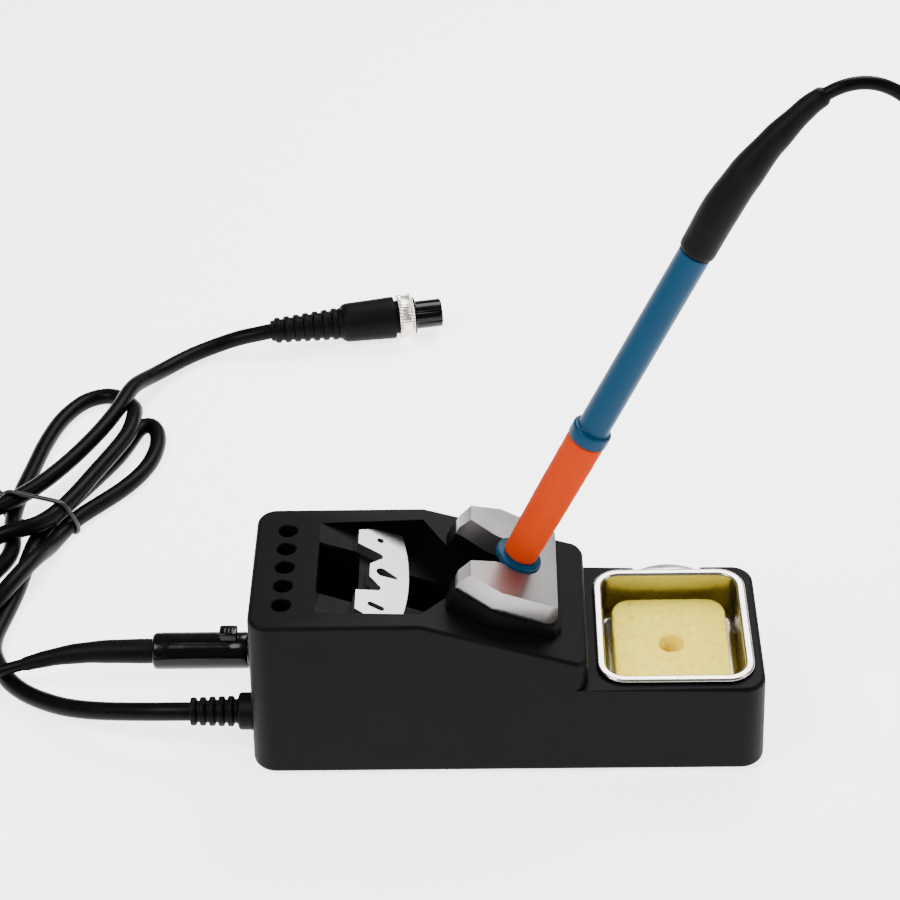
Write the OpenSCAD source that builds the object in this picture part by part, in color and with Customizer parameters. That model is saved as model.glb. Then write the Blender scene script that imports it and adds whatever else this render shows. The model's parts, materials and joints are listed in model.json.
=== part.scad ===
// Soldering iron station: stand, iron in its rest, sponge tray, handle lead and output lead.
// Origin: centre of the stand's footprint on the bench. +X is the sponge end, -X the rack end,
// -Y the front, +Z up.

/* [Stand body] */
// Length of the stand
body_l = 166; // [140:1:200]
// Width of the stand
body_w = 64; // [54:1:78]
// Height of the flat top at the rack end
tall_h = 61; // [52:1:74]
// Height of the block that carries the sponge tray
low_h = 34.5; // [30:0.5:41]
// Length of the tall block, from the rack end to the step
tall_len = 108.5; // [100:0.5:114]
// Length of the flat top in front of the slope
flat_len = 56; // [52:0.5:58]
// Height of the step between the slope and the tray block
step_h = 9.8; // [7:0.2:13]
// Wall of the moulded shell
wall = 2.4; // [1.8:0.1:3]
// Draft of the outer walls, degrees
draft = 1.5; // [0:0.1:2.5]
// Plan radius of the outer corners
corner_r = 8; // [5:0.5:11]
// Plan radius of the corners at the step
step_r = 5; // [3:0.5:8]
// Thickness of the steel base plate
plate_t = 2.5; // [2:0.1:3.2]
// How far the rubber feet stand proud
foot_h = 1; // [0.6:0.1:2]
// Diameter of a rubber foot
foot_d = 10; // [7:0.5:12]

/* [Cartridge rack] */
// Number of cartridge bores
rack_count = 5; // [3:1:5]
// Diameter of a cartridge bore
rack_bore = 6.1; // [5:0.1:7]
// Distance between cartridge bores
rack_pitch = 9.4; // [8.6:0.1:9.8]
// Distance from the rack end to the bores
rack_inset = 12; // [11:0.5:13]
// Depth of the rack insert under the top
rack_depth = 28; // [20:1:29]

/* [Tip changer] */
// Distance from the rack end to the recess
recess_inset = 22.5; // [21.5:0.5:24]
// Margin between the recess and the sides of the stand
recess_margin = 8; // [7:0.5:9]
// Angle of the ramp in the recess, degrees
ramp_a = 20; // [16:1:23]
// Wall of the recess insert
liner = 1.6; // [1.2:0.1:2]
// Length of the drop window
window_l = 13; // [12:0.5:14]
// Width of the drop window
window_w = 25.6; // [18:0.2:28]
// Thickness of the tip changer
changer_t = 3.7; // [3:0.1:4.5]
// Length of the tip changer down the ramp
changer_l = 17.5; // [17:0.1:18]
// Side clearance between the tip changer and the recess
changer_gap = 1.6; // [1:0.1:3]
// Width of the well under the iron rest
well_w = 16; // [12:0.5:17]

/* [Iron rest] */
// Lean of the iron from vertical, degrees
lean = 24.8; // [20:0.2:28]
// Distance from the rack end to where the iron enters the rest
rest_inset = 87.4; // [85:0.2:89]
// Height of the iron's collar above the slope
rest_rise = 14.6; // [13.5:0.1:17]
// Thickness of the metal rest
rest_t = 7.4; // [6.5:0.1:9.5]
// Half width of the metal rest
rest_half_w = 21.4; // [20:0.2:22.5]
// Depth of the collar's seat in the rest
seat_depth = 1.2; // [0.8:0.1:1.6]
// Ledge of the plinth around the rest
plinth_ledge = 1.5; // [0.8:0.1:2]

/* [Sponge tray] */
// Margin between the tray's rim and the edges of its block
tray_margin = 3.05; // [2.4:0.05:4]
// Width of the tray's rim
rim_w = 2.2; // [1.8:0.1:2.8]
// Height of the rolled rim
rim_h = 1.5; // [1:0.1:2]
// Corner radius of the rim
rim_r = 9; // [6:0.5:11]
// Depth of the tray
tray_depth = 17; // [14:0.5:20]
// Thickness of the tray's sheet
sheet_t = 0.8; // [0.6:0.1:1]
// How far the lifting tab reaches past the rim
tab_reach = 3.2; // [2:0.1:3.4]
// Gap between the sponge and the tray's ends
sponge_gap_x = 3.5; // [2:0.1:4.5]
// Gap between the sponge and the tray's sides
sponge_gap_y = 2.5; // [1.5:0.1:4.5]
// Thickness of the sponge
sponge_t = 9; // [7:0.5:12]
// Diameter of the hole in the sponge
sponge_hole = 8; // [5:0.5:10]

/* [Iron] */
// Diameter of the front collar
collar_d = 15.4; // [14.6:0.2:15.8]
// Thickness of the front collar
collar_t = 2.4; // [1.8:0.1:3]
// Length of the foam grip
grip_l = 49.6; // [40:0.2:60]
// Diameter of the foam grip at the front
grip_d1 = 11; // [10.4:0.1:12]
// Diameter of the foam grip at the back
grip_d2 = 12.2; // [11:0.1:12.4]
// Diameter of the rear collar
rear_d = 12.8; // [12.4:0.1:14]
// Length of the rear collar
rear_l = 4.8; // [3:0.1:7]
// Diameter of the handle tube
handle_d = 10.2; // [9.8:0.1:11]
// Length of the handle from the front collar to the strain relief
handle_l = 123.1;
// Diameter of the cartridge shaft
shaft_d = 3; // [2.4:0.1:3.2]
// Running clearance of the cartridge, on the radius
shaft_clear = 0.05; // [0.02:0.01:0.1]

/* [Connectors on the stand] */
// Height of both connectors above the bench
port_z = 16; // [15.5:0.1:16.5]
// Sideways place of the handle socket
port_y = 11.6; // [11:0.1:12]
// Sideways place of the output lead
outlet_y = -18.5; // [-19:0.1:-18]
// Diameter of the handle plug
plug_d = 12.4; // [11.6:0.1:13]
// Length of the handle plug
plug_l = 32;
// Diameter of the plug's barrel inside the socket
barrel_d = 7.8; // [7:0.1:8]
// How far the barrel reaches into the socket
barrel_l = 10.5; // [8:0.1:11]
// Clearance between the barrel and the socket, on the radius
barrel_clear = 0.1; // [0.05:0.01:0.2]

/* [Output connector] */
// Diameter of the coupling ring
ring_d = 17.6; // [17:0.1:18.4]
// Width of the coupling ring
ring_w = 6; // [5:0.1:7]
// Diameter of the front barrel
front_d = 11.3; // [10.6:0.1:12]

/* [Leads] */
// Diameter of the handle lead
handle_lead_d = 4;
// Diameter of the output lead
output_lead_d = 6.2;

/* [Hidden] */
$fn = 48;
EPS = 0.01;

// Stand body
x_left = -body_l / 2;
x_right = body_l / 2;
x_step = x_left + tall_len;
x_flat = x_left + flat_len;
step_z = low_h + step_h;
slope_a = atan((tall_h - step_z) / (tall_len - flat_len));
plate_top = foot_h + plate_t;
plate_gap = 0.2;
post_inset = 6.6;
post_r = 4.2;
post_top = 9.6;
screw_r = 1.5;
screw_head_r = 2.8;
screw_hole_r = 1.7;
foot_inset_x = 22;
foot_inset_y = 14;
foot_sink = 1.2;

function shrink(z) = z * tan(draft);
function slope_z(x) = tall_h - tan(slope_a) * (x - x_flat);

// Rack
x_rack = x_left + rack_inset;
rack_wall = 3;
rack_floor_t = 2;
rack_chamfer = 0.3;
rack_gap = 0.02;

// Recess, ramp, window and well
x_recess = x_left + recess_inset;
recess_hw = body_w / 2 - recess_margin;
neck_run = 10;
neck_hw = 10;
x_neck = x_flat + neck_run;
end_hw = 7.6;
x_rest = x_left + rest_inset;
x_end = x_rest - 1;
x_well = x_flat - 5;
well_floor = plate_top + liner + 0.2;
space_top = tall_h + 20;

function ramp_z(x) = tall_h - tan(ramp_a) * (x - x_recess);

// Tip changer, in the ramp's own plane
changer_start = window_l / cos(ramp_a) - 1.7;
changer_hw = recess_hw - changer_gap;
changer_screw_s = changer_start + 12.4;
changer_screw_y = changer_hw - 8.4;

// Iron rest, in the iron's own frame: the axis is local Z, and Z = 0 is the top of the collar
rest_z = slope_z(x_rest) + rest_rise;
rest_top = seat_depth - collar_t;
rest_bottom = rest_top - rest_t;
rest_left = -16.5;
rest_toe = -18.6;
rest_right = 13.4;
rest_drop = rest_t * tan(lean);
rest_corner = 6;
plinth_far = x_rest + (rest_right + rest_drop + plinth_ledge) * cos(lean) + rest_bottom * sin(lean);
seat_clear = 0.2;
rest_clear = 0.05;
nose_r = 5.5;
nose_l = 7.6;
bore_clear = 0.4;
gap_mouth_hw = 10.4;
gap_neck_hw = 6.7;
rest_screw_s = [19, 40];
rest_screw_y = 14;
lug_t = 0.8;
lug_r = 3.4;

// Tray
tray_l = x_right - shrink(low_h) - x_step - 2 * tray_margin;
tray_x = x_step + tray_margin + tray_l / 2;
tray_w = body_w - 2 * shrink(low_h) - 2 * tray_margin;
pan_l = tray_l - 2 * rim_w;
pan_w = tray_w - 2 * rim_w;
pan_r = min(rim_r - 2, pan_l / 2 - EPS);
tray_clear = 0.3;
tab_hw = min(10, tray_l / 2 - rim_r);
tab_r = (pow(tab_hw, 2) + pow(tab_reach, 2)) / (2 * tab_reach);
notch_rise = 1;
notch_r = tab_hw + 1.4;
sponge_l = pan_l - 2 * sheet_t - 2 * sponge_gap_x;
sponge_w = pan_w - 2 * sheet_t - 2 * sponge_gap_y;
sponge_r = min(6.5, sponge_l / 2 - EPS);
pan_floor = low_h - tray_depth;
sponge_z = pan_floor + sheet_t;

// Iron
core_r = grip_d1 / 2 - 1.1;
core_bore = 2.6;
tube_wall = 1.2;
joint_l = 8;
socket_clear = 0.02;
sleeve_r = 2.1;
shaft_out = 41.6;
shaft_in = 24;
sleeve_top = -12;
tip_l = 8;
contact_l = 26;
contact_from = 6;
nose_bore = sleeve_r + 0.4;

// Connectors on the rack end
x_wall = x_left + 0.2;
flange_t = 3.4;
x_face = x_wall - flange_t;
flange_r = 6.6;
socket_r = barrel_d / 2 + 1.3;
x_inner = x_left + wall + 0.8;
nut_t = 2.5;
nut_r = 8;
insert_t = 6;
x_insert = x_face + barrel_l + 0.3;
plug_gap = 0.2;
x_plug = x_face - plug_gap;
x_boot = x_plug - plug_l;
pin_r = 0.5;
pin_circle = 1.8;
pin_count = 4;
latch_l = 6;
latch_w = 5;
latch_top = 9;
latch_root = 5;
latch_travel = 0.8;
latch_clear = 0.2;
x_latch = x_plug - 3.3;
outlet_collar_r = 6.1;
outlet_collar_l = 4.6;
outlet_neck_r = 4.2;
outlet_rib_l = 15.7;
rib_count = 5;
clamp_l = 6;
clamp_w = 13;
clamp_h = 8;

// Output connector, lying on the bench: local Z runs along it and Z = 0 is the ring's middle
conn_at = [-39.1, 223.5, 9];
conn_yaw = 10.2;
boot_from = -54.6;
boot_to = -26.1;
boot_ribs = 7;
barrel_to = -4.4;
ring_clear = 0.06;
front_to = 14.6;

// Hand-laid routes of the leads
relief_path = [[62.4, 0, 191.4], [69.3, 0, 203.6], [75.9, 0, 213.4], [82.4, 0, 221.4],
    [86.9, 0, 226.4], [90.9, 0, 229.4]];
lead_path = [[90.9, 0, 229.4], [92.9, 0, 230.9], [97, 0, 232.6], [103, 0, 233], [110, 0, 230.4],
    [118, -1, 223.6], [126, -2, 213], [133, -3, 198], [139, -5, 180], [144, -7, 158], [148, -10, 132],
    [151, -14, 104], [154, -19, 76], [156, -26, 50], [156, -35, 29], [154, -48, 13], [150, -62, 5],
    [143, -77, 2.4], [131, -90, 2.1], [115, -98, 2.1], [96, -101, 2.1], [76, -101, 2.1], [50, -101, 2.1],
    [20, -101, 2.1], [-10, -101, 2.1], [-40, -101, 2.1], [-65, -101, 2.1], [-90, -101, 2.1]];
lead_end_path = [[-100, -103, 7.8], [-112, -103.4, 5.6], [-126, -104, 3.2], [-142, -102, 2.1],
    [-158, -96, 2.1], [-172, -86, 2.1], [-184, -74, 2.1], [-192, -58, 2.1], [-196, -40, 2.1],
    [-196, -22, 2.6], [-191, -7, 4.4], [-184, 3, 6.6], [-176, 8.4, 8.4], [-167, 10.7, 10], [-163, 11, 11]];
boot_path = [[-128, 11.6, 16], [-138, 11.6, 15.8], [-147, 11.6, 14.8], [-155, 11.6, 13],
    [-163, 11, 11]];
coil_at = [-100, -125, 0];
coil_r = 22;
output_path = [[-106, -18.5, 16], [-114, -17.6, 15.2], [-124, -15, 13], [-135, -11.4, 10.2],
    [-146, -6.4, 7.2], [-155, -0.6, 5], [-163, 5.6, 3.6], [-169, 12, 3.2], [-173, 19, 3.2],
    [-176, 25, 3.2]];
hank_low = [-192, 46];
hank_tied = [-170, 100];
hank_high = [-155, 156];
hank_low_r = 21;
hank_tied_r = 12.5;
hank_high_r = 24;
hank_z = [1, 13];
tail_path = [[-143.2, 175.4, 10.2], [-140.3, 182, 8.2], [-136.9, 188.4, 6.2], [-132.6, 194.9, 4.9],
    [-127.2, 200.9, 4.6], [-120.4, 206.6, 4.6], [-113, 210.6, 5.2], [-106, 212.6, 6.6], [-99, 212.6, 8.3]];
wiring_path = [[-67, 9, 15.6], [-65.6, 3, 15], [-65.6, -8, 15], [-66.4, -15, 15.6]];
sense_path = [[-68, -21, 13], [-66, -26, 12], [-52, -27, 13], [-30, -27, 17], [-12, -26, 24],
    [-2, -22, 34], [4.5, -18, 40]];

// Plan and solid helpers
module round_rect(l, w, r) {
    square([l - 2 * r, w], center = true);
    square([l, w - 2 * r], center = true);
    for (x = [-1, 1], y = [-1, 1]) translate([x * (l / 2 - r), y * (w / 2 - r)]) circle(r);
}

module along_x(x, y, z) {
    translate([x, y, z]) rotate([0, -90, 0]) children();
}

module on_slope(s, y) {
    translate([x_flat, 0, tall_h]) rotate([0, slope_a, 0]) translate([s, y, 0]) children();
}

module on_ramp(s, y) {
    translate([x_recess, 0, tall_h]) rotate([0, ramp_a, 0]) translate([s, y, 0]) children();
}

module on_iron() {
    translate([x_rest, 0, rest_z]) rotate([0, lean, 0]) children();
}

module on_connector() {
    translate(conn_at) rotate([0, 0, conn_yaw]) rotate([0, 90, 0]) children();
}

module on_side_view(width) {
    rotate([90, 0, 0]) linear_extrude(width, center = true) children();
}

// A tube swept along a route with a radius at each point
function unit(v) = v / norm(v);
function heading(p, i) = unit(p[min(i + 1, len(p) - 1)] - p[max(i - 1, 0)]);
function across(t) = unit(cross(t, abs(t.z) < 0.9 ? [0, 0, 1] : [0, 1, 0]));
function carried(p, i, n) = i == len(p) ? [] :
    let (t = heading(p, i), m = unit(n - (n * t) * t)) concat([m], carried(p, i + 1, m));

module sweep(p, radii, sides) {
    n = carried(p, 0, across(heading(p, 0)));
    rings = [for (i = [0:len(p) - 1], k = [0:sides - 1])
        let (a = 360 * k / sides, b = cross(heading(p, i), n[i]))
        p[i] + radii[i] * (cos(a) * n[i] + sin(a) * b)];
    last = (len(p) - 1) * sides;
    lower = [for (i = [0:len(p) - 2], k = [0:sides - 1])
        [i * sides + k, (i + 1) * sides + k, (i + 1) * sides + (k + 1) % sides]];
    upper = [for (i = [0:len(p) - 2], k = [0:sides - 1])
        [i * sides + k, (i + 1) * sides + (k + 1) % sides, i * sides + (k + 1) % sides]];
    polyhedron(rings, concat([[for (k = [0:sides - 1]) k]],
        [[for (k = [sides - 1:-1:0]) last + k]], lower, upper));
}

module tube(p, r, sides) {
    sweep(p, [for (i = [0:len(p) - 1]) r], sides);
}

// The stand's outside, brought in by a margin on every side; the margin 0 is the outer skin
module stand_form(margin, below) {
    m = margin;
    low = foot_h - below;
    slope_drop = m / cos(slope_a);
    intersection() {
        on_side_view(body_w + 2) polygon([
            [x_left + shrink(low) + m, low],
            [x_right - shrink(low) - m, low],
            [x_right - shrink(low_h - m) - m, low_h - m],
            [x_step - m, low_h - m],
            [x_step - m, slope_z(x_step - m) - slope_drop],
            [x_flat - m * tan(slope_a / 2), tall_h - m],
            [x_left + shrink(tall_h - m) + m, tall_h - m]]);
        rotate([90, 0, 90]) linear_extrude(body_l + 2, center = true) polygon([
            [-body_w / 2 + m + shrink(low), low],
            [body_w / 2 - m - shrink(low), low],
            [body_w / 2 - m - shrink(tall_h + 1), tall_h + 1],
            [-body_w / 2 + m + shrink(tall_h + 1), tall_h + 1]]);
        round_block(m, -below, tall_h + 1);
        union() {
            translate([0, 0, -below]) linear_extrude(low_h - m + below) {
                square([body_l, body_w], center = true);
            }
            translate([0, 0, -below]) linear_extrude(tall_h + 1 + below) tall_plan(m);
        }
    }
}

// A block whose corners taper with the drafted walls
module round_block(m, bottom, top) {
    x = body_l / 2 - corner_r;
    y = body_w / 2 - corner_r;
    translate([0, 0, bottom]) {
        linear_extrude(top - bottom) {
            square([body_l - 2 * m, 2 * y], center = true);
            square([2 * x, body_w - 2 * m], center = true);
        }
        for (i = [-1, 1], j = [-1, 1]) translate([i * x, j * y, 0]) {
            cylinder(h = top - bottom, r1 = corner_r - m - shrink(bottom), r2 = corner_r - m - shrink(top));
        }
    }
}

module tall_plan(m) {
    translate([x_step - m - tall_len, 0]) {
        translate([0, -body_w / 2]) square([tall_len - step_r, body_w]);
        round_rect(2 * tall_len, body_w - 2 * m - 2 * shrink(low_h), step_r);
    }
}

// Plan of the recess: wide over the ramp, then a funnel towards the iron
module recess_plan(grow) {
    g = grow;
    polygon([
        [x_recess - g, -recess_hw - g],
        [x_flat + g / 2, -recess_hw - g],
        [x_neck + g / 2, -neck_hw - g],
        [x_end + g, -end_hw - g],
        [x_end + g, end_hw + g],
        [x_neck + g / 2, neck_hw + g],
        [x_flat + g / 2, recess_hw + g],
        [x_recess - g, recess_hw + g]]);
}

module over_ramp(drop) {
    on_side_view(body_w + 2) polygon([
        [x_recess - 3, ramp_z(x_recess - 3) - drop],
        [x_end + 3, ramp_z(x_end + 3) - drop],
        [x_end + 3, space_top],
        [x_recess - 3, space_top]]);
}

module well_box(grow) {
    translate([x_well - grow, -well_w / 2 - grow, well_floor - grow]) {
        cube([x_end - x_well + 2 * grow, well_w + 2 * grow, ramp_z(x_well) - well_floor + grow]);
    }
}

module window_box(grow) {
    translate([x_recess - grow, -window_w / 2 - grow, well_floor - grow]) {
        cube([window_l + 2 * grow, window_w + 2 * grow, tall_h - well_floor + grow]);
    }
}

module recess_space() {
    intersection() {
        linear_extrude(space_top) recess_plan(0);
        over_ramp(0);
    }
    well_box(0);
    intersection() {
        window_box(0);
        translate([0, 0, -1]) linear_extrude(space_top) recess_plan(0);
    }
}

module at_posts() {
    for (x = [-1, 1], y = [-1, 1]) {
        translate([x * (body_l / 2 - post_inset), y * (body_w / 2 - post_inset), 0]) children();
    }
}

module at_feet() {
    for (x = [-1, 1], y = [-1, 1]) {
        translate([x * (body_l / 2 - foot_inset_x), y * (body_w / 2 - foot_inset_y), 0]) children();
    }
}

module at_rack() {
    for (i = [0:rack_count - 1]) {
        translate([x_rack, (i - (rack_count - 1) / 2) * rack_pitch, 0]) children();
    }
}

module at_rest_screws() {
    for (s = rest_screw_s, y = [-1, 1]) on_slope(s, y * rest_screw_y) children();
}

module at_changer_screws() {
    for (y = [-1, 1]) on_ramp(changer_screw_s, y * changer_screw_y) children();
}

// Stand
module housing() {
    color("#1b1b1c") difference() {
        union() {
            difference() {
                stand_form(0, 0);
                stand_form(wall, 5);
            }
            intersection() {
                stand_form(EPS, 0);
                at_posts() translate([0, 0, plate_top]) cylinder(h = post_top - plate_top, r = post_r);
            }
        }
        at_posts() cylinder(h = post_top - 1, r = screw_r);
        translate([0, 0, tall_h - wall - 1]) linear_extrude(wall + 2) rack_plan(rack_gap);
        recess_space();
        translate([tray_x, 0, low_h - wall - 1]) linear_extrude(wall + 2) {
            round_rect(pan_l + 2 * tray_clear, pan_w + 2 * tray_clear, pan_r + tray_clear);
        }
        translate([tray_x, body_w / 2 + 1, low_h + notch_rise]) rotate([90, 0, 0]) {
            cylinder(h = body_w / 2 + 1 - pan_w / 2, r = notch_r);
        }
        along_x(x_left + wall + 2, port_y, port_z) cylinder(h = wall + 3, r = socket_r);
        along_x(x_left + wall + 2, outlet_y, port_z) cylinder(h = wall + 3, r = outlet_neck_r);
        at_rest_screws() translate([0, 0, -wall - 1]) cylinder(h = wall + 2, r = screw_hole_r);
    }
}

module base_plate() {
    inset = wall + plate_gap;
    color("#8d9093") difference() {
        intersection() {
            stand_form(inset, 0);
            translate([0, 0, foot_h]) linear_extrude(plate_t) {
                round_rect(body_l - 2 * inset, body_w - 2 * inset, corner_r - inset);
            }
        }
        at_posts() cylinder(h = plate_top + 1, r = screw_hole_r);
        at_posts() translate([0, 0, foot_h]) cylinder(h = 1.3, r1 = screw_head_r + 0.1, r2 = screw_hole_r);
        at_feet() cylinder(h = foot_h + foot_sink, d = foot_d + 0.2);
    }
}

module base_screws() {
    color("silver") at_posts() {
        translate([0, 0, foot_h]) cylinder(h = 1.25, r1 = screw_head_r, r2 = screw_r);
        translate([0, 0, foot_h + 1]) cylinder(h = post_top - 2.4 - foot_h, r = screw_r);
    }
}

module rubber_feet() {
    color("#101010") at_feet() cylinder(h = foot_h + foot_sink, d = foot_d);
}

module rack_plan(grow) {
    long = (rack_count - 1) * rack_pitch + rack_bore + 2 * rack_wall;
    translate([x_rack, 0]) {
        round_rect(rack_bore + 2 * rack_wall + 2 * grow, long + 2 * grow, 2 + grow);
    }
}

// The rack's top comes through the stand's flat top and lies flush with it
module cartridge_rack() {
    low = tall_h - wall - rack_depth;
    color("#222222") difference() {
        translate([0, 0, low]) linear_extrude(wall + rack_depth) rack_plan(0);
        at_rack() translate([0, 0, low - 1]) cylinder(h = wall + rack_depth + 2, d = rack_bore);
        at_rack() translate([0, 0, tall_h - rack_chamfer]) {
            cylinder(h = rack_chamfer + EPS, d1 = rack_bore, d2 = rack_bore + 2 * rack_chamfer);
        }
    }
}

module rack_floor() {
    color("#222222") translate([0, 0, tall_h - wall - rack_depth - rack_floor_t]) {
        linear_extrude(rack_floor_t) rack_plan(0);
    }
}

module recess_insert() {
    color("#161617") difference() {
        union() {
            intersection() {
                stand_form(wall, 5);
                linear_extrude(space_top) recess_plan(liner);
                over_ramp(liner / cos(ramp_a));
            }
            intersection() {
                stand_form(wall, 5);
                union() {
                    well_box(liner);
                    window_box(liner);
                }
            }
        }
        recess_space();
        at_changer_screws() translate([0, 0, -liner - 1]) cylinder(h = liner + 2, r = screw_r);
    }
}

// Plan of the tip changer on the ramp: a rounded far edge and a toothed near edge
module changer_plan() {
    bow_r = 93;
    difference() {
        intersection() {
            translate([0, -changer_hw]) square([changer_l + 1, 2 * changer_hw]);
            translate([changer_l - bow_r, 0]) circle(bow_r, $fn = 180);
            translate([changer_l / 2 + 0.5, 0]) round_rect(changer_l + 1, 2 * changer_hw, 2.2);
        }
        polygon([
            [-2, 13.6], [7.2, 10.4], [8.3, 8.9], [7.3, 7.2], [4.3, 4.1], [4.3, -2.2],
            [7.2, -5.3], [8, -7.1], [6.9, -8.4], [-2, -11.3]]);
        for (y = [-1, 1]) {
            translate([0, y * changer_hw]) {
                polygon([[-2, y * -2.8], [0.2, y * -2.4], [5.4, 0], [5.4, y * 2], [-2, y * 2]]);
            }
        }
        translate([7, 8.9]) circle(1.5);
        translate([6.7, -6.9]) circle(1.5);
        translate([7.4, changer_hw - 5.3]) circle(1.15);
        translate([8.4, 1.3]) circle(1.9);
        polygon([[8.4, -0.6], [9.4, 2.9], [13.6, 0.4], [13.4, -0.5]]);
        hull() {
            translate([5.2, 6.6 - changer_hw]) circle(1.1);
            translate([8.6, 5.7 - changer_hw]) circle(1.1);
        }
    }
}

module tip_changer() {
    color("#c4c3c5") difference() {
        on_ramp(changer_start, 0) linear_extrude(changer_t) changer_plan();
        at_changer_screws() translate([0, 0, -1]) cylinder(h = 3.4, r = screw_r);
    }
}

module changer_screws() {
    color("silver") at_changer_screws() {
        translate([0, 0, -liner]) cylinder(h = liner + 2.2, r = screw_r);
        translate([0, 0, -liner - 1.4]) cylinder(h = 1.4, r = 2.2);
    }
}

// Outline of the rest seen down the iron's axis
module rest_plan(grow) {
    g = grow;
    far = rest_right + rest_drop + g;
    polygon([
        [rest_toe - g, -16.9 - g],
        [-6, -rest_half_w - g],
        [far - rest_corner, -rest_half_w + 1.9 - g],
        [far, -rest_half_w + 1.9 - g + rest_corner],
        [far, rest_half_w - 1.9 + g - rest_corner],
        [far - rest_corner, rest_half_w - 1.9 + g],
        [-6, rest_half_w + g],
        [rest_toe - g, 16.9 + g]]);
    for (y = [-1, 1]) {
        translate([far - rest_corner, y * (rest_half_w - 1.9 + g - rest_corner)]) circle(rest_corner);
    }
}

module rest_gap() {
    linear_extrude(80, center = true) {
        polygon([
            [-40, -gap_mouth_hw - 4], [rest_left, -gap_mouth_hw], [-8, -gap_neck_hw],
            [0, -nose_r - bore_clear], [0, nose_r + bore_clear], [-8, gap_neck_hw],
            [rest_left, gap_mouth_hw], [-40, gap_mouth_hw + 4]]);
    }
    cylinder(h = 80, r = nose_r + bore_clear, center = true);
}

module iron_rest() {
    color("#bdbcbe") difference() {
        on_iron() difference() {
            intersection() {
                translate([0, 0, rest_bottom]) linear_extrude(rest_t) rest_plan(0);
                on_side_view(2 * rest_half_w + 4) polygon([
                    [rest_left, rest_top],
                    [rest_right, rest_top],
                    [rest_right + rest_drop, rest_bottom],
                    [rest_toe, rest_bottom],
                    [rest_toe, rest_bottom + 2.6]]);
            }
            rest_gap();
            translate([0, 0, -collar_t - rest_clear]) cylinder(h = 10, r = collar_d / 2 + seat_clear);
        }
        at_rest_screws() translate([0, 0, -5]) cylinder(h = 14, r = screw_r);
    }
}

module rest_plinth() {
    deep = 24;
    low = rest_bottom - deep;
    color("#18181a") difference() {
        intersection() {
            on_iron() difference() {
                intersection() {
                    translate([0, 0, low]) linear_extrude(deep) {
                        translate([plinth_ledge, 0]) rest_plan(plinth_ledge);
                        translate([rest_drop, 0]) rest_plan(plinth_ledge);
                    }
                    on_side_view(2 * rest_half_w + 8) polygon([
                        [rest_toe - plinth_ledge, rest_bottom],
                        [rest_right + rest_drop + plinth_ledge, rest_bottom],
                        [rest_right + rest_drop + plinth_ledge + deep * tan(lean), low],
                        [rest_toe - plinth_ledge, low]]);
                }
                rest_gap();
            }
            translate([plinth_far - body_w, 0, 0]) linear_extrude(rest_z + 20) {
                round_rect(2 * body_w, 2 * (rest_half_w + plinth_ledge), rest_corner + plinth_ledge);
            }
        }
        on_slope(0, 0) translate([-60, -body_w, -100]) cube([200, 2 * body_w, 100]);
        recess_space();
        at_rest_screws() translate([0, 0, -1]) cylinder(h = 12, r = screw_hole_r);
    }
}

module rest_screws() {
    color("silver") for (s = rest_screw_s, y = [-1, 1]) {
        under = (s == rest_screw_s[1] && y == -1) ? lug_t : 0;
        on_slope(s, y * rest_screw_y) {
            translate([0, 0, -wall - under]) cylinder(h = wall + under + 8.6, r = screw_r);
            translate([0, 0, -wall - under - 1.8]) cylinder(h = 1.8, r = screw_head_r);
        }
    }
}

module sense_lug() {
    color("#b98a4a") on_slope(rest_screw_s[1], -rest_screw_y) translate([0, 0, -wall - lug_t]) {
        difference() {
            union() {
                cylinder(h = lug_t, r = lug_r);
                translate([-9, -3.2, 0]) cube([7, 2.6, lug_t]);
            }
            translate([0, 0, -1]) cylinder(h = 3, r = screw_hole_r);
        }
    }
}

module sense_lead() {
    color("#c8402c") tube(sense_path, 0.9, 8);
}

// Sponge tray
module sponge_tray() {
    color("#b9b2aa") difference() {
        union() {
            translate([tray_x, 0, pan_floor]) linear_extrude(tray_depth) round_rect(pan_l, pan_w, pan_r);
            translate([tray_x, 0, low_h]) linear_extrude(rim_h) round_rect(tray_l, tray_w, rim_r);
            intersection() {
                translate([tray_x, tray_w / 2 + tab_reach - tab_r, low_h]) cylinder(h = sheet_t, r = tab_r);
                translate([tray_x - 20, tray_w / 2 - rim_w, low_h]) cube([40, 20, sheet_t]);
            }
        }
        translate([tray_x, 0, sponge_z]) linear_extrude(tray_depth + 5) {
            round_rect(pan_l - 2 * sheet_t, pan_w - 2 * sheet_t, pan_r - sheet_t);
        }
    }
}

module sponge() {
    color("#e8c860") translate([tray_x, 0, sponge_z]) difference() {
        linear_extrude(sponge_t) round_rect(sponge_l, sponge_w, sponge_r);
        translate([0, 0, -1]) cylinder(h = sponge_t + 2, d = sponge_hole);
    }
}

// Handle socket and output lead on the rack end
module handle_socket() {
    color("#141414") {
        difference() {
            union() {
                along_x(x_wall, port_y, port_z) cylinder(h = flange_t, r = flange_r);
                along_x(x_inner + 10, port_y, port_z) cylinder(h = x_inner + 10 - x_wall, r = socket_r);
            }
            along_x(x_inner + 11, port_y, port_z) cylinder(h = 40, r = barrel_d / 2 + barrel_clear);
        }
        translate([x_face, port_y - latch_w / 2, port_z + flange_r - 0.4]) {
            cube([flange_t, latch_w, latch_top - flange_r + 0.4]);
        }
    }
}

module socket_nut() {
    color("silver") along_x(x_inner + nut_t, port_y, port_z) difference() {
        cylinder(h = nut_t, r = nut_r, $fn = 6);
        translate([0, 0, -1]) cylinder(h = nut_t + 2, r = socket_r);
    }
}

module around_port() {
    for (i = [0:pin_count - 1]) {
        rotate([0, 0, i * 360 / pin_count + 45]) translate([pin_circle, 0, 0]) children();
    }
}

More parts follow.
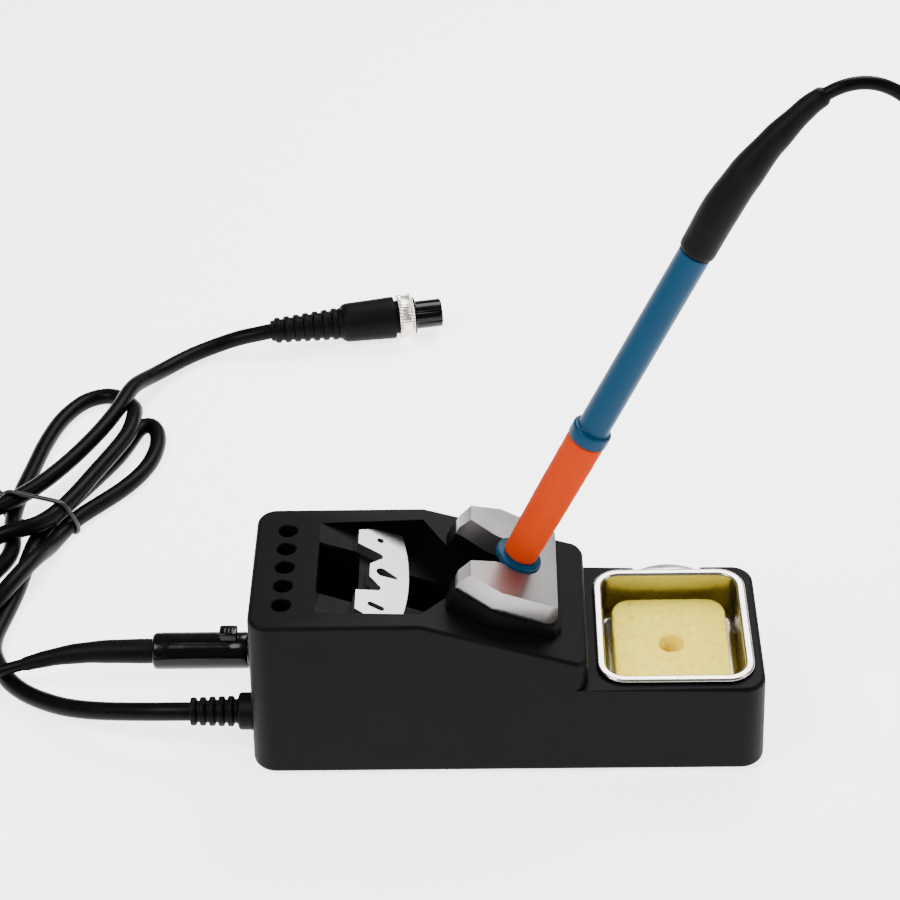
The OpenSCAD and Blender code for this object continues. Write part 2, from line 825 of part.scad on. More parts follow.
module socket_insert() {
    color("#2b2b2b") along_x(x_insert + insert_t, port_y, port_z) difference() {
        cylinder(h = insert_t, r = barrel_d / 2 + barrel_clear);
        around_port() translate([0, 0, 1.5]) cylinder(h = insert_t, r = pin_r + 0.1);
    }
}

module inner_wiring() {
    core_r = 1.6;
    x_socket = x_insert + insert_t;
    x_cable = x_inner + 2;
    p = concat([[x_socket, port_y, port_z], [x_socket + 1.5, port_y, port_z]], wiring_path,
        [[x_cable + clamp_l + 3, outlet_y, port_z], [x_cable + clamp_l + 1, outlet_y, port_z]]);
    color("#7a3430") {
        tube(p, core_r, 8);
        along_x(x_cable + clamp_l + 2, outlet_y, port_z) cylinder(h = clamp_l + 2, d = output_lead_d);
    }
}

module output_gland() {
    rib_step = outlet_rib_l / rib_count;
    color("#1a1a1a") {
        along_x(x_wall, outlet_y, port_z) cylinder(h = outlet_collar_l, r = outlet_collar_r);
        along_x(x_wall - outlet_collar_l, outlet_y, port_z) {
            cylinder(h = outlet_rib_l, r = 3.9);
            for (i = [1:rib_count]) {
                translate([0, 0, i * rib_step - 1.7]) cylinder(h = 1.7, r = 5 - 0.06 * i);
            }
        }
        along_x(x_inner + 2, outlet_y, port_z) cylinder(h = x_inner + 2 - x_wall, r = outlet_neck_r);
        along_x(x_inner + 2, outlet_y, port_z) cylinder(h = 1.8, r = 5.3);
    }
}

module cable_clamp() {
    color("#303030") translate([x_inner + 3, outlet_y, port_z]) difference() {
        translate([0, -clamp_w / 2, -clamp_h / 2]) cube([clamp_l, clamp_w, clamp_h]);
        translate([-1, 0, 0]) rotate([0, 90, 0]) cylinder(h = clamp_l + 2, r = output_lead_d / 2 + 0.05);
    }
}

// Iron
module iron_core() {
    color("#1e7bb0") on_iron() difference() {
        union() {
            translate([0, 0, -collar_t]) cylinder(h = collar_t - 0.6, d = collar_d);
            translate([0, 0, -0.6]) cylinder(h = 0.6, d1 = collar_d, d2 = collar_d - 1.2);
            translate([0, 0, -collar_t - nose_l]) cylinder(h = nose_l, r1 = 3.8, r2 = nose_r);
            cylinder(h = grip_l + joint_l, r = core_r);
        }
        translate([0, 0, -20]) cylinder(h = 20 + contact_from, r = nose_bore);
        translate([0, 0, contact_from - EPS]) cylinder(h = grip_l + joint_l, r = core_bore);
    }
}

module foam_grip() {
    color("#ff5a1e") on_iron() difference() {
        cylinder(h = grip_l, d1 = grip_d1, d2 = grip_d2);
        translate([0, 0, -1]) cylinder(h = grip_l + 2, r = core_r);
    }
}

module handle_tube() {
    color("#1e7bb0") on_iron() difference() {
        union() {
            translate([0, 0, grip_l]) cylinder(h = 0.8, d1 = rear_d - 0.8, d2 = rear_d);
            translate([0, 0, grip_l + 0.8]) cylinder(h = rear_l - 2, d = rear_d);
            translate([0, 0, grip_l + rear_l - 1.2]) cylinder(h = 1.2, d1 = rear_d, d2 = rear_d - 1.4);
            translate([0, 0, grip_l + 1]) cylinder(h = handle_l - grip_l - 1, d = handle_d);
        }
        translate([0, 0, grip_l - 1]) cylinder(h = joint_l + 1, r = core_r);
        cylinder(h = handle_l + 1, d = handle_d - 2 * tube_wall);
    }
}

module contact_socket() {
    color("#b08d57") on_iron() translate([0, 0, contact_from]) difference() {
        cylinder(h = contact_l, r = core_bore);
        translate([0, 0, -1]) cylinder(h = contact_l - 3, r = shaft_d / 2 + shaft_clear);
    }
}

module strain_relief() {
    foot = [x_rest + handle_l * sin(lean), 0, rest_z + handle_l * cos(lean)];
    p = concat([foot, foot + 5 * [sin(lean), 0, cos(lean)]], relief_path);
    color("#151515") {
        sweep(p, [5.6, 5.7, 5.8, 5.3, 4.8, 3.8, 3.3, 3], 12);
        on_iron() translate([0, 0, handle_l - 9]) cylinder(h = 9, d = handle_d - 2 * tube_wall);
    }
}

module cartridge_shaft() {
    color("#c9c9cc") on_iron() {
        translate([0, 0, sleeve_top]) cylinder(h = shaft_in - sleeve_top, d = shaft_d);
    }
}

module heater_sleeve() {
    color("#b5b0a8") on_iron() {
        translate([0, 0, -shaft_out]) cylinder(h = shaft_out + sleeve_top, r = sleeve_r);
        translate([0, 0, -shaft_out - 2]) cylinder(h = 2, r1 = 1.3, r2 = sleeve_r);
    }
}

module iron_tip() {
    color("#8a8580") on_iron() translate([0, 0, -shaft_out - 2 - tip_l]) {
        cylinder(h = tip_l, r1 = 0.3, r2 = 1.3);
    }
}

module handle_lead() {
    color("#141414") tube(lead_path, handle_lead_d / 2, 8);
}

module lead_coil() {
    d = handle_lead_d;
    color("#141414") translate(coil_at) rotate_extrude() {
        translate([coil_r - d, 0.1]) square([2 * d, 2 * d - 0.3]);
    }
}

module handle_lead_end() {
    color("#141414") tube(lead_end_path, handle_lead_d / 2, 8);
}

module plug_boot() {
    p = concat([[x_boot, port_y, port_z], [x_boot - 4, port_y, port_z]], boot_path);
    color("#151515") sweep(p, [4.1, 4, 3.8, 3.5, 3.1, 2.7, 2.3], 12);
}

module plug_shell() {
    color("#101010") along_x(x_plug, port_y, port_z) difference() {
        union() {
            cylinder(h = plug_l - 1, d = plug_d);
            translate([0, 0, plug_l - 1]) cylinder(h = 1, d1 = plug_d, d2 = plug_d - 2);
        }
        translate([0, 0, -1]) cylinder(h = 13, r = barrel_d / 2);
        translate([latch_root - 1 - latch_travel, -latch_w / 2 - latch_clear, 3.3 - latch_clear]) {
            cube([10, latch_w + 2 * latch_clear, latch_l + 2 * latch_clear]);
        }
    }
}

module plug_barrel() {
    color("#9a9a9c") along_x(x_plug + barrel_l, port_y, port_z) difference() {
        cylinder(h = barrel_l + 12, r = barrel_d / 2);
        translate([0, 0, -1]) cylinder(h = barrel_l, r = barrel_d / 2 - 0.5);
        around_port() translate([0, 0, -1]) cylinder(h = barrel_l + 8, r = pin_r);
    }
}

module plug_pins() {
    color("gold") along_x(x_plug + barrel_l + 2.4, port_y, port_z) around_port() {
        cylinder(h = barrel_l + 6, r = pin_r);
    }
}

module plug_latch() {
    color("#0f0f0f") translate([x_latch - latch_l, port_y - latch_w / 2, port_z + latch_root]) {
        cube([latch_l, latch_w, latch_top - latch_root]);
    }
}

// Output lead and its round connector
module output_lead() {
    x_gland = x_wall - outlet_collar_l - outlet_rib_l;
    color("#141414") tube(concat([[x_gland, outlet_y, port_z]], output_path), output_lead_d / 2, 10);
}

module lead_hank() {
    color("#141414") translate([0, 0, hank_z[0]]) linear_extrude(hank_z[1] - hank_z[0]) {
        hull() {
            translate(hank_low) circle(hank_low_r, $fn = 32);
            translate(hank_tied) circle(hank_tied_r, $fn = 32);
        }
        hull() {
            translate(hank_high) circle(hank_high_r, $fn = 32);
            translate(hank_tied) circle(hank_tied_r, $fn = 32);
        }
    }
}

module hank_tie() {
    t = 0.8;
    wide = 2 * hank_tied_r + 0.6;
    high = hank_z[1] - hank_z[0] + 0.2;
    run = hank_high - hank_low;
    color("#0d0d0d") translate([hank_tied.x, hank_tied.y, hank_z[0] - 0.1 + high / 2]) {
        rotate([0, 0, atan2(run.y, run.x)]) rotate([90, 0, 90]) linear_extrude(1.6, center = true) {
            difference() {
                round_rect(wide + 2 * t, high + 2 * t, 3);
                round_rect(wide, high, 3 - t);
            }
        }
    }
}

module output_tail() {
    boot = conn_at + boot_from * [cos(conn_yaw), sin(conn_yaw), 0];
    color("#141414") tube(concat(tail_path, [boot]), output_lead_d / 2, 10);
}

module connector_boot() {
    step = (boot_to - boot_from) / boot_ribs;
    color("#161616") on_connector() {
        translate([0, 0, boot_from]) cylinder(h = boot_to - boot_from, r1 = 4.3, r2 = 5.6);
        for (i = [0:boot_ribs - 1]) {
            translate([0, 0, boot_from + i * step]) cylinder(h = step * 0.55, r = 5.1 + 0.21 * i);
        }
    }
}

module connector_shell() {
    color("#141414") on_connector() {
        translate([0, 0, boot_to]) cylinder(h = 1.5, r1 = 6.6, r2 = 7.8);
        translate([0, 0, boot_to + 1.5]) cylinder(h = barrel_to - boot_to - 1.5, r1 = 7.8, r2 = 8.5);
        translate([0, 0, barrel_to]) cylinder(h = ring_w + 1.6, r = front_d / 2 + 1);
    }
}

module coupling_ring() {
    color("#cfc4b2") on_connector() difference() {
        translate([0, 0, -ring_w / 2]) cylinder(h = ring_w, d = ring_d);
        translate([0, 0, -ring_w]) cylinder(h = 2 * ring_w, r = front_d / 2 + 1 + ring_clear);
    }
}

module connector_barrel() {
    color("#1b1b1b") on_connector() difference() {
        translate([0, 0, barrel_to + ring_w + 1.6]) {
            cylinder(h = front_to - barrel_to - ring_w - 1.6, d = front_d);
            cylinder(h = 0.7, r = front_d / 2 + 1.9);
        }
        translate([0, 0, front_to - 8]) cylinder(h = 9, d = front_d - 1.6);
        for (i = [0:7]) {
            rotate([0, 0, i * 45 + 10]) translate([front_d / 2, 0, front_to - 3]) {
                cube([0.7, 0.9, 8], center = true);
            }
        }
    }
}

module connector_pins() {
    color("gold") on_connector() for (i = [0:4]) {
        rotate([0, 0, i * 72]) translate([2.6, 0, front_to - 8]) cylinder(h = 6, r = 0.6);
    }
}

housing();
base_plate();
base_screws();
rubber_feet();
cartridge_rack();
rack_floor();
recess_insert();
tip_changer();
changer_screws();
rest_plinth();
iron_rest();
rest_screws();
sense_lug();
sense_lead();
sponge_tray();
sponge();
handle_socket();
socket_nut();
socket_insert();
inner_wiring();
output_gland();
cable_clamp();
iron_core();
foam_grip();
handle_tube();
contact_socket();
strain_relief();
cartridge_shaft();
heater_sleeve();
iron_tip();
handle_lead();
lead_coil();
handle_lead_end();
plug_boot();
plug_shell();
plug_barrel();
plug_pins();
plug_latch();
output_lead();
lead_hank();
hank_tie();
output_tail();
connector_boot();
connector_shell();
coupling_ring();
connector_barrel();
connector_pins();
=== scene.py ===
import bpy
import bmesh
import json
import math
from mathutils import Matrix, Vector, noise


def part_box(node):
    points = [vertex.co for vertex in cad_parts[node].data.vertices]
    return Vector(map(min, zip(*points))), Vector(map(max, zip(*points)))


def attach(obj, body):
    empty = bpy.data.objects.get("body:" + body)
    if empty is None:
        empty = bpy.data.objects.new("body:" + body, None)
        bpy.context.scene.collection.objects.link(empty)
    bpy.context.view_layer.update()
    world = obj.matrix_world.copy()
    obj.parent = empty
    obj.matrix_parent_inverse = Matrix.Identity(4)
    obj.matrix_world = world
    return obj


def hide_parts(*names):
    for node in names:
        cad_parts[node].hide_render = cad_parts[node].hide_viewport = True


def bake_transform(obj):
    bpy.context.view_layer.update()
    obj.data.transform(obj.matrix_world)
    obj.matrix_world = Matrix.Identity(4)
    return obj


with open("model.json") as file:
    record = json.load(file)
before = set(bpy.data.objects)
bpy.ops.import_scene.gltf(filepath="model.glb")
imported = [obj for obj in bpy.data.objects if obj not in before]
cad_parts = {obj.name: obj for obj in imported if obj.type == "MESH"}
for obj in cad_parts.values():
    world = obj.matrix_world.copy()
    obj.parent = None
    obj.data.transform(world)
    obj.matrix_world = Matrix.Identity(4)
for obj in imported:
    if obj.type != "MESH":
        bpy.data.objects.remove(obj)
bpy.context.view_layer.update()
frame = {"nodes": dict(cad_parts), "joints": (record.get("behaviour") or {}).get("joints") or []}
print("frame loaded:", len(frame["nodes"]), "nodes")

mm = 0.001
joints = {j["name"]: j for j in frame["joints"]}


# shader helpers
class Wire:
    # a socket that can be added, subtracted and multiplied
    def __init__(self, shader, socket):
        self.shader = shader
        self.socket = socket

    def calc(self, operation, *values):
        return self.shader.add("ShaderNodeMath", {"operation": operation}, list(values))

    def __add__(self, other):
        return self.calc("ADD", self, other)

    def __sub__(self, other):
        return self.calc("SUBTRACT", self, other)

    def __rsub__(self, other):
        return self.calc("SUBTRACT", other, self)

    def __mul__(self, other):
        return self.calc("MULTIPLY", self, other)

    __radd__ = __add__

    def clip(self, low, high):
        # 0 below low, 1 above high
        return self.shader.add(
            "ShaderNodeMapRange",
            {"clamp": True},
            {"Value": self, "From Min": low, "From Max": high},
        )


class Shader:
    def __init__(self, name, color=(0.8, 0.8, 0.8), roughness=0.5, metallic=0.0, **fixed):
        self.material = bpy.data.materials.new(name)
        self.material.use_nodes = True
        self.tree = self.material.node_tree
        self.surface = self.tree.nodes["Principled BSDF"]
        self.set("Base Color", (*color, 1))
        self.set("Roughness", roughness)
        self.set("Metallic", metallic)
        for socket, value in fixed.items():
            self.set(socket.replace("_", " "), value)

    def add(self, kind, settings=None, inputs=None, output=0):
        node = self.tree.nodes.new(kind)
        for key, value in (settings or {}).items():
            setattr(node, key, value)
        pairs = inputs.items() if isinstance(inputs, dict) else enumerate(inputs or [])
        for key, value in pairs:
            if isinstance(value, Wire):
                self.tree.links.new(value.socket, node.inputs[key])
            else:
                node.inputs[key].default_value = value
        return Wire(self, node.outputs[output])

    def set(self, socket, value):
        if isinstance(value, Wire):
            self.tree.links.new(value.socket, self.surface.inputs[socket])
        else:
            self.surface.inputs[socket].default_value = value

    def place(self):
        return self.add("ShaderNodeTexCoord", output="Object")

    def grain(self, scale, detail=2.0, rough=0.5, stretch=None):
        # noise, with scale in waves per metre
        at = self.place()
        if stretch:
            at = self.add("ShaderNodeMapping", {}, {"Vector": at, "Scale": stretch})
        return self.add(
            "ShaderNodeTexNoise",
            {},
            {"Vector": at, "Scale": scale, "Detail": detail, "Roughness": rough},
        )

    def cells(self, scale):
        return self.add("ShaderNodeTexVoronoi", {}, {"Vector": self.place(), "Scale": scale})

    def blendColor(self, mask, first, second):
        mix = self.tree.nodes.new("ShaderNodeMix")
        mix.data_type = "RGBA"
        for key, value in (("Factor", mask), ("A", first), ("B", second)):
            socket = [s for s in mix.inputs if s.name == key and s.enabled][0]
            if isinstance(value, Wire):
                self.tree.links.new(value.socket, socket)
            else:
                socket.default_value = value if key == "Factor" else (*value, 1)
        return Wire(self, [s for s in mix.outputs if s.enabled][0])

    def bump(self, height, strength, distance):
        # distance in millimetres
        normal = self.add(
            "ShaderNodeBump", {}, {"Height": height, "Strength": strength, "Distance": distance * mm}
        )
        self.set("Normal", normal)


# mesh helpers
def fromNode(name):
    # a merged copy of a CAD part, flat faces joined
    bm = bmesh.new()
    bm.from_mesh(frame["nodes"][name].data)
    bmesh.ops.remove_doubles(bm, verts=bm.verts, dist=1e-6)
    bmesh.ops.dissolve_limit(
        bm, angle_limit=math.radians(0.6), verts=bm.verts, edges=bm.edges, use_dissolve_boundaries=False
    )
    return bm


def sharpEdges(bm, angle):
    return [
        e
        for e in bm.edges
        if len(e.link_faces) == 2 and e.calc_face_angle(0) > math.radians(angle)
    ]


def roundEdges(bm, width, segments=3, angle=30, edges=None, clamp=True):
    bmesh.ops.bevel(
        bm,
        geom=sharpEdges(bm, angle) if edges is None else edges,
        offset=width * mm,
        offset_type="OFFSET",
        affect="EDGES",
        segments=segments,
        profile=0.5,
        material=-1,
        clamp_overlap=clamp,
    )
    bmesh.ops.remove_doubles(bm, verts=bm.verts, dist=1e-6)


def turned(profile, place, steps=64):
    # profile: (radius, height) pairs in mm, spun about local Z, then put in place
    bm = bmesh.new()
    verts = [bm.verts.new((r * mm, 0, z * mm)) for r, z in profile]
    edges = [bm.edges.new(pair) for pair in zip(verts, verts[1:])]
    bmesh.ops.spin(
        bm, geom=verts + edges, cent=(0, 0, 0), axis=(0, 0, 1), angle=2 * math.pi, steps=steps, use_merge=True
    )
    bmesh.ops.remove_doubles(bm, verts=bm.verts, dist=1e-6)
    bmesh.ops.recalc_face_normals(bm, faces=bm.faces)
    bmesh.ops.transform(bm, matrix=place, verts=bm.verts)
    return bm


def piece(bm, name, body, material, slot, *nodes, smooth=35, even=False):
    mesh = bpy.data.meshes.new(name)
    bm.to_mesh(mesh)
    bm.free()
    obj = bpy.data.objects.new(name, mesh)
    bpy.context.scene.collection.objects.link(obj)
    mesh.materials.append(material)
    mesh.polygons.foreach_set("use_smooth", [True] * len(mesh.polygons))
    mesh.set_sharp_from_angle(angle=math.radians(smooth))
    if even:
        # keeps large flat faces flat next to rounded edges
        obj.modifiers.new("EvenNormals", "WEIGHTED_NORMAL").keep_sharp = True
    if body:
        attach(obj, body)
    if nodes:
        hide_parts(*nodes)
    return obj


def finish(node, material):
    # a CAD part that keeps its own mesh
    obj = frame["nodes"][node]
    obj.data.materials.clear()
    obj.data.materials.append(material)
    obj.data.polygons.foreach_set("use_smooth", [True] * len(obj.data.polygons))


def smoothRoute(points, step=1.5, rounds=0):
    # a Catmull-Rom curve through given points, at even steps, all in mm
    p = [Vector(q) for q in points]
    p = [2 * p[0] - p[1]] + p + [2 * p[-1] - p[-2]]
    out = []
    for a, b, c, d in zip(p, p[1:], p[2:], p[3:]):
        t = [0.0]
        for u, v in ((a, b), (b, c), (c, d)):
            t.append(t[-1] + math.sqrt((v - u).length))
        count = max(2, int((c - b).length / step))
        for i in range(count):
            x = t[1] + (t[2] - t[1]) * i / count
            ab = a.lerp(b, (x - t[0]) / (t[1] - t[0]))
            bc = b.lerp(c, (x - t[1]) / (t[2] - t[1]))
            cd = c.lerp(d, (x - t[2]) / (t[3] - t[2]))
            abc = ab.lerp(bc, (x - t[0]) / (t[2] - t[0]))
            bcd = bc.lerp(cd, (x - t[1]) / (t[3] - t[1]))
            out.append(abc.lerp(bcd, (x - t[1]) / (t[2] - t[1])))
    out.append(p[-2])
    for _ in range(rounds):
        out = [out[0]] + [(u + 2 * v + w) / 4 for u, v, w in zip(out, out[1:], out[2:])] + [out[-1]]
    return out


def tubeMesh(name, route, radius, sides=6):
    # a bevelled curve made a mesh; radius is a number in mm or a function of the share of the length
    data = bpy.data.curves.new(name + "Line", "CURVE")
    data.dimensions = "3D"
    data.twist_mode = "MINIMUM"
    data.bevel_depth = 1.0
    data.bevel_resolution = sides
    data.use_fill_caps = True
    line = data.splines.new("POLY")
    line.points.add(len(route) - 1)
    run = [0.0]
    for a, b in zip(route, route[1:]):
        run.append(run[-1] + (b - a).length)
    for point, at, far in zip(line.points, route, run):
        point.co = (*(at * mm), 1)
        point.radius = (radius(far / run[-1]) if callable(radius) else radius) * mm
    holder = bpy.data.objects.new(name + "Line", data)
    bpy.context.scene.collection.objects.link(holder)
    bpy.context.view_layer.update()
    mesh = bpy.data.meshes.new_from_object(holder.evaluated_get(bpy.context.evaluated_depsgraph_get()))
    bpy.data.objects.remove(holder)
    bm = bmesh.new()
    bm.from_mesh(mesh)
    bpy.data.meshes.remove(mesh)
    bmesh.ops.remove_doubles(bm, verts=bm.verts, dist=1e-6)
    bmesh.ops.recalc_face_normals(bm, faces=bm.faces)
    return bm


def lengthOf(route):
    return sum((b - a).length for a, b in zip(route, route[1:])) * mm


def metres(route):
    return [tuple(p * mm) for p in route]


# camera and light
view = {
    "elevation": 36.5,
    "yaw": -1.39,
    "roll": -1.48,
    "place": (-1.79, -628.72, 572.33),
    "lens": 101.19,
    "sensor": 36.0,
}


def makeCamera():
    e, y, r = (math.radians(view[k]) for k in ("elevation", "yaw", "roll"))
    ahead = Vector((math.sin(y) * math.cos(e), math.cos(y) * math.cos(e), -math.sin(e)))
    side = Vector((math.cos(y), -math.sin(y), 0))
    above = side.cross(ahead)
    right = side * math.cos(r) + above * math.sin(r)
    up = right.cross(ahead)
    data = bpy.data.cameras.new("Camera")
    data.lens = view["lens"]
    data.sensor_width = view["sensor"]
    data.clip_start = 0.01
    camera = bpy.data.objects.new("Camera", data)
    bpy.context.scene.collection.objects.link(camera)
    turn = Matrix((right, up, -ahead)).transposed().to_4x4()
    camera.matrix_world = Matrix.Translation(Vector(view["place"]) * mm) @ turn
    bpy.context.scene.camera = camera


light = {
    "world": 0.3,
    "floor": (0.9, 0.9, 0.9),
    "floorGlow": 2.9,
    "lamps": [
        ("KeyLamp", (-420, -260, 700), 420, 8.0),
        ("RearLamp", (160, 520, 620), 520, 9.0),
        ("SideLamp", (620, -160, 380), 300, 2.2),
    ],
}


def makeLight():
    world = bpy.data.worlds.new("Studio")
    world.use_nodes = True
    world.node_tree.nodes["Background"].inputs["Color"].default_value = (1, 1, 1, 1)
    world.node_tree.nodes["Background"].inputs["Strength"].default_value = light["world"]
    bpy.context.scene.world = world
    for name, at, size, power in light["lamps"]:
        data = bpy.data.lights.new(name, "AREA")
        data.shape = "DISK"
        data.size = size * mm
        data.energy = power
        lamp = bpy.data.objects.new(name, data)
        bpy.context.scene.collection.objects.link(lamp)
        lamp.location = Vector(at) * mm
        lamp.rotation_euler = (Vector((0, 20, 40)) * mm - lamp.location).to_track_quat("-Z", "Y").to_euler()
    bm = bmesh.new()
    bmesh.ops.create_grid(bm, x_segments=1, y_segments=1, size=6)
    bmesh.ops.translate(bm, verts=bm.verts, vec=(0, 0, -0.05 * mm))
    mesh = bpy.data.meshes.new("Floor")
    bm.to_mesh(mesh)
    bm.free()
    floor = bpy.data.objects.new("Floor", mesh)
    bpy.context.scene.collection.objects.link(floor)
    white = light["floor"]
    paper = Shader("Paper", white, 0.55, Specular_IOR_Level=0.3, Emission_Strength=light["floorGlow"])
    paper.set("Emission Color", (1, 1, 1, 1))
    soft = paper.grain(60, 3)
    paper.set("Base Color", paper.blendColor(soft, white, tuple(c * 0.985 for c in white)))
    mesh.materials.append(paper.material)


makeCamera()
makeLight()
print("camera and light ready")


# materials
def mouldedBlack():
    # matt shell plastic: fine sparked grain, a little smoother where it is rubbed
    s = Shader("MouldedBlack", (0.002, 0.002, 0.0021), 0.5, Specular_IOR_Level=0.05)
    spark = s.grain(3600, 2, 0.6)
    cloud = s.grain(38, 4, 0.55)
    rub = s.grain(420, 3, 0.65, stretch=(1, 1, 0.35)).clip(0.56, 0.75)
    patch = cloud.clip(0.3, 0.75)
    s.set("Base Color", s.blendColor(patch, (0.0018, 0.0017, 0.0018), (0.0032, 0.003, 0.0031)))
    s.set("Roughness", 0.47 + cloud * 0.12 - rub * 0.06)
    s.bump(spark + s.grain(1500, 1) * 0.5, 0.32, 0.05)
    return s.material


def satinZinc():
    # cast and satin plated
    s = Shader("SatinZinc", (0.29, 0.27, 0.27), 0.3, 0.95)
    cloud = s.grain(90, 4, 0.6)
    s.set("Base Color", s.blendColor(cloud, (0.25, 0.235, 0.235), (0.33, 0.31, 0.31)))
    s.set("Roughness", 0.25 + cloud * 0.14)
    s.bump(s.grain(900, 3, 0.6) + s.grain(5200, 1) * 0.35, 0.16, 0.03)
    return s.material


def pressedSteel():
    # bright sheet with drawing marks
    s = Shader("PressedSteel", (0.46, 0.43, 0.39), 0.24, 1.0)
    draw = s.grain(260, 3, 0.6, stretch=(1, 1, 14))
    stain = s.grain(45, 5, 0.65)
    s.set("Base Color", s.blendColor(stain.clip(0.35, 0.7), (0.5, 0.475, 0.435), (0.38, 0.355, 0.315)))
    s.set("Roughness", 0.14 + draw * 0.12 + stain.clip(0.5, 0.8) * 0.12)
    s.bump(draw + s.grain(2400, 1) * 0.25, 0.1, 0.03)
    return s.material


def platedSteel():
    s = Shader("PlatedSteel", (0.5, 0.505, 0.51), 0.34, 1.0)
    flow = s.grain(120, 4, 0.6)
    s.set("Base Color", s.blendColor(flow, (0.42, 0.43, 0.45), (0.56, 0.56, 0.555)))
    s.set("Roughness", 0.28 + flow * 0.18)
    s.bump(s.grain(1800, 2), 0.12, 0.03)
    return s.material


def tinnedTip():
    s = Shader("TinnedTip", (0.38, 0.36, 0.34), 0.3, 1.0)
    heat = s.grain(700, 4, 0.6)
    s.set("Base Color", s.blendColor(heat.clip(0.4, 0.65), (0.5, 0.48, 0.46), (0.16, 0.12, 0.1)))
    s.set("Roughness", 0.22 + heat * 0.3)
    s.bump(heat, 0.2, 0.05)
    return s.material


def satinNickel():
    s = Shader("SatinNickel", (0.74, 0.7, 0.63), 0.27, 1.0)
    flow = s.grain(300, 3, 0.6)
    s.set("Base Color", s.blendColor(flow, (0.68, 0.64, 0.57), (0.8, 0.76, 0.69)))
    s.set("Roughness", 0.2 + flow * 0.16)
    s.bump(s.grain(2600, 2), 0.1, 0.02)
    return s.material


def plainMetal(name, color, darker, rough):
    s = Shader(name, color, rough, 1.0)
    flow = s.grain(500, 3, 0.6)
    s.set("Base Color", s.blendColor(flow, color, darker))
    s.set("Roughness", rough + flow * 0.12)
    s.bump(s.grain(3000, 1), 0.08, 0.02)
    return s.material


def softRubber():
    # boots and sleeves: satin with a faint bloom
    s = Shader("SoftRubber", (0.002, 0.002, 0.0021), 0.5, Specular_IOR_Level=0.06)
    bloom = s.grain(150, 4, 0.6)
    patch = bloom.clip(0.4, 0.75)
    s.set("Base Color", s.blendColor(patch, (0.0013, 0.0013, 0.0014), (0.0028, 0.0027, 0.0027)))
    s.set("Roughness", 0.42 + bloom * 0.18)
    s.bump(s.grain(2800, 2, 0.6) + bloom * 0.5, 0.2, 0.04)
    return s.material


def leadJacket():
    # extruded jacket: soft sheen and faint draw marks
    s = Shader("LeadJacket", (0.0015, 0.0015, 0.0016), 0.5, Specular_IOR_Level=0.05)
    dust = s.grain(240, 4, 0.6)
    patch = dust.clip(0.45, 0.8)
    s.set("Base Color", s.blendColor(patch, (0.0013, 0.0013, 0.0014), (0.0028, 0.0027, 0.0027)))
    s.set("Roughness", 0.3 + dust * 0.18)
    s.bump(s.grain(1700, 2, 0.6), 0.12, 0.05)
    return s.material


def glossBlack():
    s = Shader("GlossBlack", (0.0012, 0.0012, 0.0013), 0.22, Specular_IOR_Level=0.16)
    smear = s.grain(180, 4, 0.6)
    s.set("Base Color", s.blendColor(smear, (0.001, 0.001, 0.0011), (0.0015, 0.0014, 0.0014)))
    s.set("Roughness", 0.15 + smear.clip(0.4, 0.8) * 0.16)
    s.bump(s.grain(1200, 1) + smear * 0.8, 0.06, 0.04)
    return s.material


def greyPlastic():
    s = Shader("GreyPlastic", (0.045, 0.045, 0.047), 0.45)
    cloud = s.grain(200, 3)
    s.set("Base Color", s.blendColor(cloud, (0.035, 0.035, 0.037), (0.055, 0.055, 0.057)))
    s.set("Roughness", 0.4 + cloud * 0.15)
    s.bump(s.grain(2600, 2), 0.15, 0.04)
    return s.material


def bluePlastic():
    # turned nylon handle with a satin skin
    s = Shader("BluePlastic", (0.0, 0.028, 0.066), 0.42, Specular_IOR_Level=0.1)
    cloud = s.grain(70, 4, 0.55)
    s.set("Base Color", s.blendColor(cloud, (0.0, 0.025, 0.06), (0.0, 0.031, 0.072)))
    s.set("Roughness", 0.3 + cloud * 0.16)
    s.bump(s.grain(1900, 2, 0.6) + s.grain(260, 2) * 0.6, 0.12, 0.04)
    return s.material


def orangeFoam():
    # closed-cell grip: very fine pits and soft unevenness
    s = Shader("OrangeFoam", (0.42, 0.03, 0.0), 0.72, Specular_IOR_Level=0.05)
    cloud = s.grain(110, 4, 0.6)
    pit = s.cells(1500)
    s.set("Base Color", s.blendColor(cloud, (0.38, 0.026, 0.0), (0.45, 0.034, 0.0)))
    s.set("Roughness", 0.62 + cloud * 0.2)
    s.bump(pit.clip(0.0, 0.6) + cloud * 1.4, 0.3, 0.1)
    return s.material


def cellSponge():
    # compressed cellulose: open pores of two sizes, with painted shade in the pits: where the bump is deepest
    # the colour turns darker and browner
    s = Shader("CellSponge", (0.92, 0.66, 0.2), 0.9, Specular_IOR_Level=0.15)
    big = s.cells(330)
    small = s.cells(1050)
    tone = s.grain(60, 5, 0.6)
    pits = (1 - big.clip(0.12, 0.42)) * 0.7 + (1 - small.clip(0.1, 0.5)) * 0.5
    base = s.blendColor(tone.clip(0.35, 0.7), (1.0, 0.88, 0.09), (1.0, 0.76, 0.06))
    # painted shade: the pit mask darkens the colour towards brown inside the pores
    s.set("Base Color", s.blendColor((pits * 0.5).clip(0.0, 1.0), base, (0.75, 0.45, 0.06)))
    s.set("Roughness", 0.85 + tone * 0.1)
    s.bump(1 - pits, 0.55, 0.45)
    return s.material


def coloredWire(name, color):
    s = Shader(name, color, 0.4)
    tone = s.grain(200, 3)
    s.set("Base Color", s.blendColor(tone, color, tuple(c * 0.75 for c in color)))
    s.set("Roughness", 0.34 + tone * 0.14)
    s.bump(s.grain(1500, 1), 0.1, 0.04)
    return s.material


